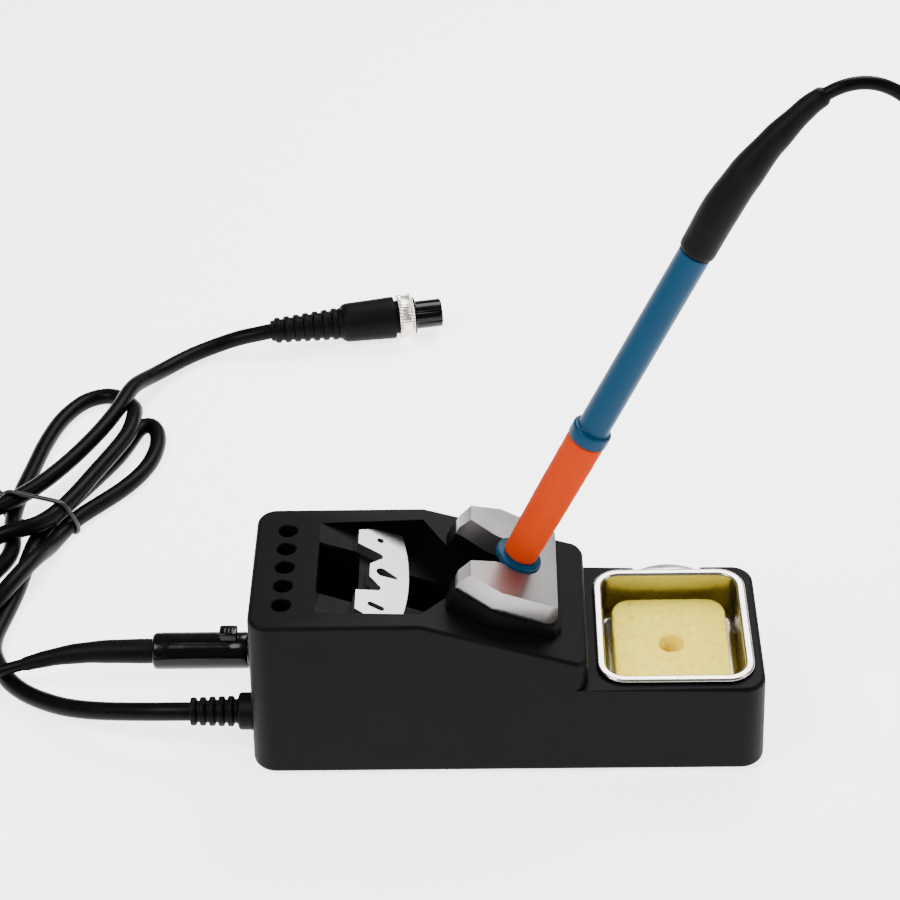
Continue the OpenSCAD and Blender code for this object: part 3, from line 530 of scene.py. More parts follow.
black = mouldedBlack()
zinc = satinZinc()
tin = pressedSteel()
plated = platedSteel()
rubber = softRubber()
jacket = leadJacket()
gloss = glossBlack()
grey = greyPlastic()
blue = bluePlastic()
orange = orangeFoam()
nickel = satinNickel()
gold = plainMetal("GoldContact", (0.86, 0.66, 0.3), (0.76, 0.54, 0.2), 0.22)
cellular = cellSponge()
tinned = tinnedTip()
brass = plainMetal("Brass", (0.72, 0.53, 0.27), (0.6, 0.42, 0.2), 0.3)
red = coloredWire("RedWire", (0.4, 0.05, 0.035))
tieBlack = coloredWire("TieBlack", (0.0025, 0.0025, 0.0027))
print("materials ready:", len(bpy.data.materials))


# places worked out from the frame
leadSize = {"handle": 4.0, "output": 6.2}


def ironPlace():
    # local Z runs up the iron, and Z = 0 is the top of its front collar
    up = Vector(joints["iron_lift"]["axis"]).normalized()
    lean = math.atan2(up.x, up.z)
    low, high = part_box("foam_grip")
    grip = 5.5 * mm
    at = Vector((low.x + grip * math.cos(lean), 0, low.z + grip * math.sin(lean)))
    return Matrix.Translation(at) @ Matrix.Rotation(lean, 4, "Y")


def connectorPlace():
    # local Z runs along the connector, and Z = 0 is the middle of its ring
    turn = joints["ring_turn"]
    along = Vector(turn["axis"]).normalized()
    return Matrix.Translation(Vector(turn["pos_m"])) @ along.to_track_quat("Z", "Y").to_matrix().to_4x4()


iron = ironPlace()
connector = connectorPlace()
leftWard = Matrix.Rotation(math.radians(-90), 4, "Y")  # local Z to -X


def onAxis(place, far):
    return (place @ Vector((0, 0, far * mm))) / mm


# the leads
# the same points as the part's source, in millimetres
reliefRoute = [
    (62.4, 0, 191.4), (69.3, 0, 203.6), (75.9, 0, 213.4), (82.4, 0, 221.4), (86.9, 0, 226.4),
    (90.9, 0, 229.4)]
handleRoute = [
    (90.9, 0, 229.4), (92.9, 0, 230.9), (97, 0, 232.6), (103, 0, 233), (110, 0, 230.4), (118, -1, 223.6),
    (126, -2, 213), (133, -3, 198), (139, -5, 180), (144, -7, 158), (148, -10, 132), (151, -14, 104),
    (154, -19, 76), (156, -26, 50), (156, -35, 29), (154, -48, 13), (150, -62, 5), (143, -77, 2.4),
    (131, -90, 2.1), (115, -98, 2.1), (96, -101, 2.1), (76, -101, 2.1), (50, -101, 2.1), (20, -101, 2.1),
    (-10, -101, 2.1), (-40, -101, 2.1), (-65, -101, 2.1), (-90, -101, 2.1)]
plugLeadRoute = [
    (-100, -103, 6), (-112, -103.4, 6.3), (-126, -104, 3.6), (-142, -102, 2.1), (-158, -96, 2.1),
    (-172, -86, 2.1), (-184, -74, 2.1), (-192, -58, 2.1), (-196, -40, 2.1), (-196, -22, 2.6), (-191, -7, 4.4),
    (-184, 3, 6.6), (-176, 8.4, 8.4), (-167, 10.7, 10), (-163, 11, 11)]
bootRoute = [(-128, 11.6, 16), (-138, 11.6, 15.8), (-147, 11.6, 14.8), (-155, 11.6, 13), (-163, 11, 11)]
outputRoute = [
    (-106, -18.5, 16), (-114, -17.6, 15.2), (-124, -15, 13), (-135, -11.4, 10.2), (-146, -6.4, 7.2),
    (-155, -0.6, 5), (-163, 5.6, 3.6), (-169, 12, 3.2), (-173, 19, 3.2), (-176, 25, 3.2)]
hankRoute = [
    # up through the tie and round the right-hand loop
    (-177, 34, 3.2), (-175, 46, 3.2), (-172.8, 60, 3.2), (-171.5, 76, 3.2), (-169.5, 90, 3.2),
    (-164, 104, 3.2),
    (-157.8, 115.5, 3.2), (-151.6, 127, 3.2), (-145.8, 138.5, 3.2), (-142.2, 149, 3.2),
    (-140, 156.5, 3.3),
    (-136.8, 160, 3.4), (-133.4, 156, 3.4), (-131.7, 146.5, 3.3), (-133.8, 133, 3.2), (-140.5, 120, 3.2),
    (-149.5, 109.1, 3.2), (-157.5, 99.7, 3.2), (-162, 90.4, 3.2), (-164.5, 82, 4.6), (-167, 73, 8),
    # down to the fold and back
    (-171, 62, 9.6), (-175, 53, 9.4), (-179.5, 45, 7.6), (-187, 36, 4.4), (-197, 31, 3.2), (-207.5, 36, 3.2),
    (-212, 51, 3.2), (-206, 69, 3.2), (-198, 78, 3.2), (-190, 82, 4.6), (-184, 84, 8), (-178, 85.5, 9.6),
    # up through the tie and round the big loop
    (-170.5, 88, 9.6), (-163.8, 95, 9.6), (-157.8, 106, 9.6), (-151.9, 120, 9.6), (-146.6, 132.5, 9.6),
    (-142.2, 145, 9.6), (-141.3, 156.5, 9.5), (-142.4, 165, 6.6), (-146, 172, 4.2), (-152.3, 178.2, 3.4),
    (-161.5, 176.2, 3.2), (-169.4, 165.2, 3.2), (-174.3, 149.6, 3.2), (-177.5, 130, 3.2), (-180, 113, 3.2),
    (-180.3, 98, 3.2), (-178, 84, 3.2), (-178.8, 74, 5),
    # over the first fold and up as the tail
    (-180.5, 64, 8.6), (-184, 55, 10), (-190, 48, 10), (-199, 46, 9.8), (-206, 54, 9.8), (-206, 68, 9.8),
    (-199, 84, 9.8), (-191, 94, 9.8), (-181, 102.5, 9.8), (-172.5, 111.5, 9.8), (-164.2, 124, 9.8),
    (-156.9, 137.4, 10), (-150.7, 151, 10.4), (-146.4, 163, 10.9), (-145, 169.5, 10.9)]
tailRoute = [
    (-143.2, 175.4, 10.2), (-140.3, 182, 8.2), (-136.9, 188.4, 6.2), (-132.6, 194.9, 4.9),
    (-127.2, 200.9, 4.6),
    (-120.4, 206.6, 4.6), (-113, 210.6, 5.2), (-106, 212.6, 6.6), (-99, 212.6, 8.3)]
coil = {"middle": (-100, -125), "turns": [(24, 2.1), (20, 2.1), (22, 5.6)], "steps": 40, "change": 0.18}


def coilTurns():
    # each turn starts at the top and eases from the radius and height of the turn before
    x, y = coil["middle"]
    out = []
    before = coil["turns"][0]
    for turn in coil["turns"]:
        for i in range(coil["steps"]):
            share = i / coil["steps"]
            ease = min(share / coil["change"], 1)
            ease = ease * ease * (3 - 2 * ease)
            r = before[0] + (turn[0] - before[0]) * ease
            z = before[1] + (turn[1] - before[1]) * ease
            a = math.radians(90 + 360 * share)
            out.append((x + r * math.cos(a), y + r * math.sin(a), z))
        before = turn
    return out


def makeHandleLead():
    turns = coilTurns()
    route = smoothRoute(handleRoute + turns[1:], 1.6, 6)
    radius = leadSize["handle"] / 2
    lead = piece(
        tubeMesh("HandleLead", route, radius), "HandleLead", None, jacket, "lead_jacket",
        "handle_lead", "lead_coil")
    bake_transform(lead)
    return lead, route


def makePlugLead():
    last = coilTurns()[-1]
    route = smoothRoute([last] + plugLeadRoute, 1.6, 4)
    radius = leadSize["handle"] / 2
    lead = piece(
        tubeMesh("PlugLead", route, radius), "PlugLead", None, jacket, "lead_jacket", "handle_lead_end")
    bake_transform(lead)
    return lead, route


def makeOutputLead():
    low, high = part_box("output_gland")
    start = (low.x / mm + 0.4, (low.y + high.y) / 2 / mm, (low.z + high.z) / 2 / mm)
    end = onAxis(connector, -54.2)
    route = smoothRoute([start] + outputRoute + hankRoute + tailRoute + [tuple(end)], 1.8, 5)
    radius = leadSize["output"] / 2
    lead = piece(
        tubeMesh("OutputLead", route, radius, 7), "OutputLead", "stand", jacket, "lead_jacket",
        "output_lead", "lead_hank", "output_tail")
    return lead, route


handleLead, handleLine = makeHandleLead()
plugLead, plugLine = makePlugLead()
outputLead, outputLine = makeOutputLead()
print("leads laid:", *(round(lengthOf(r), 3) for r in (handleLine, plugLine, outputLine)), "m")


# outlines lofted into shells
def roundedLoop(length, width, radius, corner=8, side=6):
    # a rounded rectangle round the origin, anticlockwise, with points along its sides as well, in mm
    out = []
    for k, (sx, sy) in enumerate(((1, 1), (-1, 1), (-1, -1), (1, -1))):
        cx, cy = sx * (length / 2 - radius), sy * (width / 2 - radius)
        arc = [
            Vector((cx + radius * math.cos(a), cy + radius * math.sin(a)))
            for a in (math.radians(90 * k + 90 * i / corner) for i in range(corner + 1))
        ]
        out += arc
        nx, ny = ((-1, 1), (-1, -1), (1, -1), (1, 1))[k]
        if k % 2 == 0:
            far = Vector((nx * (length / 2 - radius), arc[-1].y))
        else:
            far = Vector((arc[-1].x, ny * (width / 2 - radius)))
        out += [arc[-1].lerp(far, i / side) for i in range(1, side)]
    return out


def loft(loops, at, ring=False):
    # loops: lists of (x, y, z) points in mm with the same count, joined in turn; a ring has no ends
    bm = bmesh.new()
    rows = [[bm.verts.new((Vector(p) + Vector(at)) * mm) for p in loop] for loop in loops]
    pairs = list(zip(rows, rows[1:])) + ([(rows[-1], rows[0])] if ring else [])
    for a, b in pairs:
        n = len(a)
        for i in range(n):
            bm.faces.new((a[i], a[(i + 1) % n], b[(i + 1) % n], b[i]))
    if not ring:
        bm.faces.new(rows[0][::-1])
        bm.faces.new(rows[-1])
    bmesh.ops.recalc_face_normals(bm, faces=bm.faces)
    return bm


def bendOf(radius, start, end, count=4):
    # points of an arc round (0, 0), as (across, up), from one angle to another in degrees
    return [
        (radius * math.cos(math.radians(start + (end - start) * i / count)),
         radius * math.sin(math.radians(start + (end - start) * i / count)))
        for i in range(count + 1)
    ]


def roundBox(low, high, radius=0.3, segments=3):
    bm = bmesh.new()
    bmesh.ops.create_cube(bm, size=1)
    size = [b - a for a, b in zip(low, high)]
    middle = [(a + b) / 2 for a, b in zip(low, high)]
    bmesh.ops.scale(bm, vec=[v * mm for v in size], verts=bm.verts)
    bmesh.ops.translate(bm, vec=[v * mm for v in middle], verts=bm.verts)
    roundEdges(bm, radius, segments, edges=list(bm.edges))
    return bm


def merged(*parts):
    # several bmeshes as one
    whole = parts[0]
    for part in parts[1:]:
        mesh = bpy.data.meshes.new("Part")
        part.to_mesh(mesh)
        part.free()
        whole.from_mesh(mesh)
        bpy.data.meshes.remove(mesh)
    return whole


def nodeBox(node):
    # the low and high corners of a CAD part, in mm
    low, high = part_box(node)
    return low / mm, high / mm


# the stand
stand = {
    "edge": 1.3,  # rounding of the outer top edges
    "bottom": 1.6,  # rounding of the rim round the base
    "skin": 0.9,  # an edge this near to the outermost point is on the outer skin
    "upper": 36,  # an edge over this height belongs to the tall block
    "upperReach": 1.5,
    "lowerReach": 60,
    "restEdge": 0.7,
    "changerEdge": 0.3,
    "plinthEdge": 0.6,
    "plateEdge": 0.3,
}


def outerEdges(bm, above):
    # sharp edges between a wall of the outer skin and a top face, or the bottom rim
    verts = [v.co.copy() for v in bm.verts]
    low = min(v.z for v in verts)
    found = []
    for e in sharpEdges(bm, 40):
        walls = [f for f in e.link_faces if abs(f.normal.z) < 0.25]
        flats = [f for f in e.link_faces if (f.normal.z > 0.6 if above else f.normal.z < -0.9)]
        if len(walls) != 1 or len(flats) != 1:
            continue
        middle = (e.verts[0].co + e.verts[1].co) / 2
        if not above and middle.z > low + 1 * mm:
            continue
        n = walls[0].normal.copy()
        n.z = 0
        n.normalize()
        near = stand["upperReach" if middle.z > low + stand["upper"] * mm else "lowerReach"] * mm
        reach = max(v.dot(n) for v in verts if v.z > middle.z - near)
        if reach - middle.dot(n) < stand["skin"] * mm:
            found.append(e)
    return found


def makeHousing():
    bm = fromNode("housing")
    roundEdges(bm, stand["edge"], 4, edges=outerEdges(bm, True), clamp=False)
    roundEdges(bm, stand["bottom"], 4, edges=outerEdges(bm, False), clamp=False)
    piece(bm, "Housing", "stand", black, "black_plastic", "housing", smooth=30, even=True)


def makeFromCad(node, name, body, material, slot, width, segments=3, angle=30):
    # a CAD part with its sharp edges rounded
    bm = fromNode(node)
    roundEdges(bm, width, segments, angle)
    piece(bm, name, body, material, slot, node, smooth=32, even=True)


def makeStand():
    makeHousing()
    makeFromCad("recess_insert", "RecessInsert", "stand", black, "black_plastic", 0.2)
    finish("cartridge_rack", black)
    makeFromCad("rack_floor", "RackFloor", "stand", black, "black_plastic", 0.25)
    makeFromCad("rest_plinth", "RestPlinth", "stand", black, "black_plastic", stand["plinthEdge"])
    makeFromCad("iron_rest", "IronRest", "stand", zinc, "satin_zinc", stand["restEdge"], 4)
    makeFromCad("tip_changer", "TipChanger", "stand", zinc, "satin_zinc", stand["changerEdge"], 3, 40)
    makeFromCad("base_plate", "BasePlate", "stand", plated, "steel_plate", stand["plateEdge"])
    makeFromCad("base_screws", "BaseScrews", "stand", plated, "steel_plate", 0.15)
    makeFromCad("changer_screws", "ChangerScrews", "stand", plated, "steel_plate", 0.2)
    makeFromCad("rest_screws", "RestScrews", "stand", plated, "steel_plate", 0.2)
    makeFromCad("rubber_feet", "RubberFeet", "stand", rubber, "black_rubber", 0.35)
    makeFromCad("sense_lug", "SenseLug", "stand", brass, "brass", 0.12)
    makeFromCad("cable_clamp", "CableClamp", "stand", grey, "grey_plastic", 0.4)
    makeFromCad("socket_nut", "SocketNut", "stand", nickel, "nickel", 0.25)
    for node in ("sense_lead", "inner_wiring"):
        finish(node, red)
    finish("socket_insert", grey)


# the sponge and its tray
tray = {
    "rim": 2.2,  # width of the rolled rim
    "rimRadius": 9.0,
    "roll": 0.75,  # radius of the roll
    "sheet": 0.8,
    "fillet": 2.4,
    "tabReach": 3.2,
    "tabHalf": 10.0,
}
sponge = {"edge": 0.7, "hole": 4.0, "corner": 6.5, "rings": 30, "crown": 0.25, "ripple": 0.16}


def trayPlace():
    low, high = nodeBox("sponge_tray")
    return low, high, Vector(((low.x + high.x) / 2, 0, 0))


def makeTray():
    low, high, at = trayPlace()
    length = high.x - low.x
    width = 2 * -low.y
    r = tray["roll"]
    wall = tray["sheet"]
    top = high.z
    rim = tray["rim"]
    floor = low.z + wall
    f = tray["fillet"]
    # (distance in from the rim's outline, height), from the inside floor, over the rim, to below
    profile = [(length / 2 - 6, floor), (rim + wall + f, floor)]
    profile += [(rim + wall + f - f * math.sin(a), floor + f - f * math.cos(a))
                for a in (math.radians(v) for v in (22, 45, 68, 90))]
    lip = 0.9
    profile += [(rim + wall, top - lip - 3), (rim + wall - 0.02, top - lip - 0.4)]
    profile += [(rim + wall - lip * (1 - math.cos(a)), top - lip + lip * math.sin(a))
                for a in (math.radians(v) for v in (25, 50, 72, 90))]
    profile += [(r + 0.1, top)]
    profile += [(r - r * math.sin(a), top - r + r * math.cos(a))
                for a in (math.radians(v) for v in (25, 50, 72, 90, 112, 140, 165, 180))]
    profile += [(rim - 0.1, top - 2 * r), (rim, top - 2 * r - 0.4), (rim, low.z + f)]
    profile += [(rim + f * (1 - math.cos(a)), low.z + f - f * math.sin(a))
                for a in (math.radians(v) for v in (30, 60, 90))]
    profile += [(length / 2 - 6, low.z)]
    loops = []
    for inset, z in profile:
        radius = max(tray["rimRadius"] - inset, 1.2)
        loops.append([(p.x, p.y, z) for p in roundedLoop(length - 2 * inset, width - 2 * inset, radius)])
    bm = loft(loops, at)
    # the lifting tab: a bow past the rear rim
    half = tray["tabHalf"]
    reach = tray["tabReach"]
    bow = (half ** 2 + reach ** 2) / (2 * reach)
    span = math.asin(half / bow)
    arc = [Vector((bow * math.sin(a), width / 2 + reach - bow + bow * math.cos(a)))
           for a in (span - 2 * span * i / 24 for i in range(25))]
    outline = arc + [Vector((-half, width / 2 - rim)), Vector((half, width / 2 - rim))]
    bottom = top - 2 * r
    tab = loft([[(p.x, p.y, z) for p in outline] for z in (bottom, bottom + wall)], at)
    roundEdges(tab, 0.3, 3, 40)
    piece(merged(bm, tab), "SpongeTray", "tray", tin, "stainless_sheet", "sponge_tray", smooth=40)


def makeSponge():
    low, high = nodeBox("sponge")
    at = Vector(((low.x + high.x) / 2, 0, 0))
    length = high.x - low.x
    width = high.y - low.y
    edge = sponge["edge"]
    outer = roundedLoop(length, width, sponge["corner"], 14, 22)

    def ring(share, z, grow=0.0):
        # from the hole's edge at 0 to the outline at 1
        out = []
        for p in outer:
            hole = p.normalized() * sponge["hole"]
            q = hole.lerp(p, share)
            q = q + p.normalized() * grow
            out.append((q.x, q.y, z))
        return out

    top = high.z
    rows = [ring(0, low.z + edge), ring(0, (low.z + top) / 2), ring(0, top - edge)]
    rows.append(ring(0, top - edge / 3, 0.25))
    count = sponge["rings"]
    for i in range(1, count):
        share = 0.02 + 0.955 * i / (count - 1)
        rows.append(ring(share, top + sponge["crown"] * math.sin(math.pi * share)))
    rows += [ring(1, top - edge * 0.35, -0.25), ring(1, top - edge)]
    rows += [ring(1, low.z + (top - edge - low.z) * k / 6) for k in range(5, 0, -1)]
    rows += [ring(1, low.z, -0.4), ring(0.5, low.z)]
    bm = loft(rows, at, ring=True)
    bm.normal_update()
    moves = []
    for v in bm.verts:
        lift = noise.noise(v.co * 420) + 0.6 * noise.noise(v.co * 1300)
        keep = 0.35 if v.co.z < (low.z + 0.5) * mm else 1.0
        moves.append(v.normal * (lift * sponge["ripple"] * keep * mm))
    for v, move in zip(bm.verts, moves):
        v.co += move
        v.co.z = max(v.co.z, low.z * mm)
    pad = piece(bm, "Sponge", "wiping_sponge", cellular, "sponge", "sponge", smooth=60)


# the iron
handle = {
    "length": 123.1, "collar": 7.7, "collarThick": 2.4, "nose": 7.6, "noseTop": 5.5, "noseEnd": 3.8,
    "grip": 49.6, "gripFront": 5.5, "gripBack": 6.1, "rear": 6.4, "rearLong": 4.8, "tube": 5.1,
    "bore": 2.5, "sleeve": 2.1, "shaft": 1.5, "sleeveEnd": -41.6, "sleeveCone": 2,
    "tip": 8, "tipRadius": 1.28,
}


def makeIron():
    h = handle
    top = h["collarThick"]
    profile = [(h["bore"], 6), (h["bore"], -top - h["nose"] + 0.3), (h["bore"] + 0.3, -top - h["nose"])]
    profile += [(h["noseEnd"] - 0.3, -top - h["nose"]), (h["noseEnd"], -top - h["nose"] + 0.3)]
    profile += [(h["noseTop"] - 0.05, -top - 0.1), (h["noseTop"] + 0.1, -top)]
    profile += [(h["collar"] - 0.7 + c, -top + 0.7 + s) for c, s in bendOf(0.7, -90, 0)]
    profile += [(h["collar"] - 0.6 + c, -0.6 + s) for c, s in bendOf(0.6, 0, 90)]
    profile += [(h["gripFront"] - 0.2, 0.02), (h["gripFront"] - 1, 0.3), (h["gripFront"] - 1, 20)]
    profile += [(h["bore"], 20)]
    piece(turned(profile + [profile[0]], iron), "IronCore", "iron", blue, "blue_plastic", "iron_core")
    long = h["grip"]
    shape = [(h["gripFront"] - 1.6, 0.15), (h["gripFront"] - 0.75, 0.1)]
    shape += [(h["gripFront"] - 0.7 + c, 0.8 + s) for c, s in bendOf(0.7, -90, 0)]
    for i in range(1, 24):
        share = i / 24
        swell = 0.16 * math.sin(math.pi * share) + 0.035 * math.sin(share * 55)
        shape.append((h["gripFront"] + (h["gripBack"] - h["gripFront"]) * share + swell, long * share))
    shape += [(h["gripBack"] - 0.7 + c, long - 0.8 + s) for c, s in bendOf(0.7, 0, 90)]
    shape += [(h["gripBack"] - 1.8, long - 0.1)]
    bm = turned(shape, iron, 72)
    bm.normal_update()
    for v, lift in [(v, noise.noise(v.co * 300) * 0.05 * mm) for v in bm.verts]:
        v.co += v.normal * lift
    piece(bm, "FoamGrip", "iron", orange, "orange_foam", "foam_grip", smooth=50)
    collar = [(h["gripBack"] - 1.8, long)]
    collar += [(h["rear"] - 0.6 + c, long + 0.6 + s) for c, s in bendOf(0.6, -90, 0)]
    end = long + h["rearLong"]
    collar += [(h["rear"] - 0.9 + c, end - 0.9 + s) for c, s in bendOf(0.9, 0, 80)]
    collar += [(h["tube"] + 0.25, end + 0.02), (h["tube"], end + 0.35)]
    collar += [(h["tube"] - 0.015 * i, end + (h["length"] - end) * i / 8) for i in range(1, 9)]
    collar += [(h["tube"] - 0.4, h["length"] + 0.25), (h["tube"] - 1.2, h["length"] + 0.25)]
    piece(turned(collar, iron), "HandleTube", "iron", blue, "blue_plastic", "handle_tube")
    piece(
        turned([(0, 8), (h["bore"] - 0.05, 8), (h["bore"] - 0.05, 30), (0, 30)], iron),
        "ContactSocket", "iron", brass, "brass", "contact_socket")


def makeCartridge():
    h = handle
    end = h["sleeveEnd"]
    r = h["sleeve"]
    start = end - h["sleeveCone"]
    sleeve = [(0, -12.2), (r - 0.2, -12.2), (r, -12.4), (r, -26), (r - 0.04, -26.2), (r, -26.4)]
    sleeve += [(r, end + 0.2), (r - 0.15, end), (1.5, end - 1.2), (1.3, start), (0, start)]
    piece(turned(sleeve, iron, 40), "HeaterSleeve", "cartridge", plated, "stainless_sheet", "heater_sleeve")
    r = h["shaft"]
    shaft = [(0, 23.9), (r - 0.2, 23.9), (r, 23.7), (r, -12.1), (0, -12.1)]
    piece(
        turned(shaft, iron, 32), "CartridgeShaft", "cartridge", plated, "stainless_sheet", "cartridge_shaft")
    tipEnd = start - h["tip"]
    r = h["tipRadius"]
    tip = [(0, start + 0.05), (r, start), (r, start - 0.8), (1.1, start - 2), (0.75, start - 4.2)]
    tip += [(0.45, start - 6.4), (0.32, tipEnd + 0.3), (0.15, tipEnd + 0.05), (0, tipEnd)]
    piece(turned(tip, iron, 32), "IronTip", "cartridge", tinned, "tip_plating", "iron_tip")


def easedSteps(pairs):
    # radius in mm against the share of the length, joined by eased steps
    def radius(share):
        for (a, ra), (b, rb) in zip(pairs, pairs[1:]):
            if share <= b:
                t = (share - a) / (b - a)
                return ra + (rb - ra) * t * t * (3 - 2 * t)
        return pairs[-1][1]
    return radius


def makeStrainRelief():
    start = onAxis(iron, handle["length"] + 0.2)
    route = smoothRoute([start, onAxis(iron, handle["length"] + 5)] + reliefRoute, 0.8, 6)
    shape = [(0, 4.6), (0.012, 5.45), (0.035, 5.65), (0.25, 5.8), (0.45, 5.3), (0.68, 4.2)]
    shape += [(0.86, 3.35), (0.975, 3.0), (0.99, 2.7), (1, 2.1)]
    sleeve = tubeMesh("StrainRelief", route, easedSteps(shape), 14)
    return piece(sleeve, "StrainRelief", "iron", rubber, "black_rubber", "strain_relief", smooth=60)


# the handle plug and its socket
plug = {
    "radius": 6.2, "rounding": 1.5, "barrel": 3.9,
    "groove": 0.32, "grooveFrom": 26, "grooveTo": 44.5,  # depth, and the angles between which it runs
    "ridges": 3,
}


def makePlug():
    low, high = nodeBox("plug_shell")
    y, z = (low.y + high.y) / 2, (low.z + high.z) / 2
    long = high.x - low.x
    place = Matrix.Translation(Vector((high.x, y, z)) * mm) @ leftWard
    r = plug["radius"]
    e = plug["rounding"]
    profile = [(3.9, 0.2), (r - 0.5, 0), (r - 0.15, 0.12), (r, 0.5)]
    profile += [(r, 3 + (long - 6 - e) * i / 14) for i in range(15)]
    profile += [(r - e + c, long - e + s) for c, s in bendOf(e, 0, 90, 6)]
    profile += [(0, long)]
    bm = turned(profile, Matrix(), 160)
    start, stop = math.radians(plug["grooveFrom"]), math.radians(plug["grooveTo"])
    for v in bm.verts:
        rho = math.hypot(v.co.x, v.co.y)
        # angle from the top, where local X is up once the piece is in place
        a = abs(math.atan2(v.co.y, v.co.x))
        inside = start < a < stop and 3.4 * mm < v.co.z < (long - 4) * mm and rho > (r - 0.2) * mm
        if inside:
            v.co.x *= 1 - plug["groove"] / r
            v.co.y *= 1 - plug["groove"] / r
    bmesh.ops.transform(bm, matrix=place, verts=bm.verts)
    shell = piece(bm, "PlugShell", "plug", gloss, "gloss_black", "plug_shell", smooth=28)
    b = plug["barrel"]
    inner = nodeBox("plug_barrel")
    nose = inner[1].x - high.x
    barrel = [(0, 11), (b, 11), (b, -nose + 0.4), (b - 0.35, -nose), (b - 0.6, -nose), (b - 0.6, -2), (0, -2)]
    piece(turned(barrel, place, 48), "PlugBarrel", "plug", nickel, "nickel", "plug_barrel")
    finish("plug_pins", gold)
    low, high = nodeBox("plug_latch")
    block = roundBox(low, high, 0.5)
    wide = high.x - low.x
    for i in range(plug["ridges"]):
        x = low.x + wide * (0.3 + 0.2 * i)
        ridge = (x - 0.35, low.y + 0.5, high.z - 0.2), (x + 0.35, high.y - 0.5, high.z + 0.35)
        block = merged(block, roundBox(*ridge, 0.16, 2))
    latch = piece(block, "PlugLatch", "latch", gloss, "gloss_black", "plug_latch")
    start = Vector((nodeBox("plug_boot")[1].x, y, z))
    route = smoothRoute([start, start - Vector((4, 0, 0))] + bootRoute, 0.8, 6)
    shape = [(0, 4.15), (0.06, 4.2), (0.3, 4.0), (0.55, 3.5), (0.8, 2.85), (0.965, 2.45), (1, 2.05)]
    sleeve = tubeMesh("PlugBoot", route, easedSteps(shape), 12)
    boot = piece(sleeve, "PlugBoot", "plug", rubber, "black_rubber", "plug_boot", smooth=60)
    return [shell, latch, boot]


socket = {"radius": 6.6, "rounding": 0.55, "ridges": 3}
wallGap = 0.2  # at the ports the drafted wall is this far in from the base's edge


def makeSocket():
    low, high = nodeBox("handle_socket")
    shell = nodeBox("plug_shell")
    middle = (shell[0].y + shell[1].y) / 2
    z = (shell[0].z + shell[1].z) / 2
    wall = nodeBox("housing")[0].x + wallGap
    place = Matrix.Translation(Vector((wall, middle, z)) * mm) @ leftWard
    long = wall - low.x
    r = socket["radius"]
    e = socket["rounding"]
    profile = [(4.0, long - 0.02), (4.4, long), (r - e, long)]
    profile += [(r - e + c, long - e + s) for c, s in bendOf(e, 90, 0)]
    profile += [(r, 0.6), (r + 0.35, 0.05), (r + 0.35, 0), (5.2, 0), (5.2, wall - high.x)]
    profile += [(4.0, wall - high.x), profile[0]]
    body = turned(profile, place, 72)
    # the keeper that the latch hooks behind, with its ridges
    latch = nodeBox("plug_latch")
    top = high.z
    body = merged(body, roundBox((low.x, latch[0].y, z + r - 0.5), (wall, latch[1].y, top), 0.45))
    for i in range(socket["ridges"]):
        x = low.x + long * (0.3 + 0.22 * i)
        ridge = (x - 0.25, latch[0].y + 0.6, top - 0.15), (x + 0.25, latch[1].y - 0.6, top + 0.3)
        body = merged(body, roundBox(*ridge, 0.12, 2))
    piece(body, "HandleSocket", "stand", gloss, "gloss_black", "handle_socket")


def ribProfile(start, end, count, rFirst, rLast, deep, share=0.62):
    # rounded ribs with fluted gaps, as (radius, height)
    out = []
    step = (end - start) / count
    for i in range(count):
        r = rFirst + (rLast - rFirst) * i / max(count - 1, 1)
        z = start + i * step
        gap = step * (1 - share)
        out += [(r - deep, z + 0.02), (r - deep, z + gap * 0.7)]
        rib = step - gap
        bulge = min(0.45, rib / 3)
        out += [(r - bulge + c, z + gap + bulge + s) for c, s in bendOf(bulge, -90, 0, 3)]
        out += [(r - bulge + c, z + step - bulge + s) for c, s in bendOf(bulge, 0, 90, 3)]
    return out


gland = {"collar": 4.6, "ribs": 5, "ribDeep": 1.05}


def makeGland():
    low, high = nodeBox("output_gland")
    wall = nodeBox("housing")[0].x + wallGap
    y, z = (low.y + high.y) / 2, (low.z + high.z) / 2
    place = Matrix.Translation(Vector((wall, y, z)) * mm) @ leftWard
    long = wall - low.x
    collar = gland["collar"]
    profile = [(0, wall - high.x), (4.2, wall - high.x), (4.2, 0), (6.25, 0), (6.15, 0.5)]
    profile += [(6.1, collar - 0.9)]
    profile += [(5.2 + c, collar - 0.9 + s) for c, s in bendOf(0.9, 0, 90)][1:]
    profile += [(4.7, collar + 0.15), (4.1, collar + 0.5)]
    profile += ribProfile(collar + 0.5, long, gland["ribs"], 5.0, 4.6, gland["ribDeep"])
    profile += [(3.3, long), (0, long)]
    body = turned(profile, place, 56)
    return piece(body, "OutputGland", "stand", rubber, "black_rubber", "output_gland", smooth=40)


# the output connector, with heights along its axis from the middle of its ring
link = {
    "back": -54.6, "front": 14.6, "bootEnd": -27.6, "bootRibs": 7,
    "ringHalf": 3.0, "ringBand": 1.3, "ringRadius": 8.8, "teeth": 48, "toothDeep": 0.28,
    "keyStep": 45, "keyWide": 7, "keyRadius": 5.1,  # the keyways, in degrees and mm
}


def knurled(bm, place, outer, teeth, deep):
    # waves round the outside of a ring, deep in mm
    inverse = place.inverted()
    for v in bm.verts:
        local = inverse @ v.co
        rho = math.hypot(local.x, local.y)
        if rho > (outer - 0.25) * mm:
            a = math.atan2(local.y, local.x)
            wave = 0.5 - 0.5 * math.cos(teeth * a)
            scale = 1 - deep * wave * mm / rho
            v.co = place @ Vector((local.x * scale, local.y * scale, local.z))


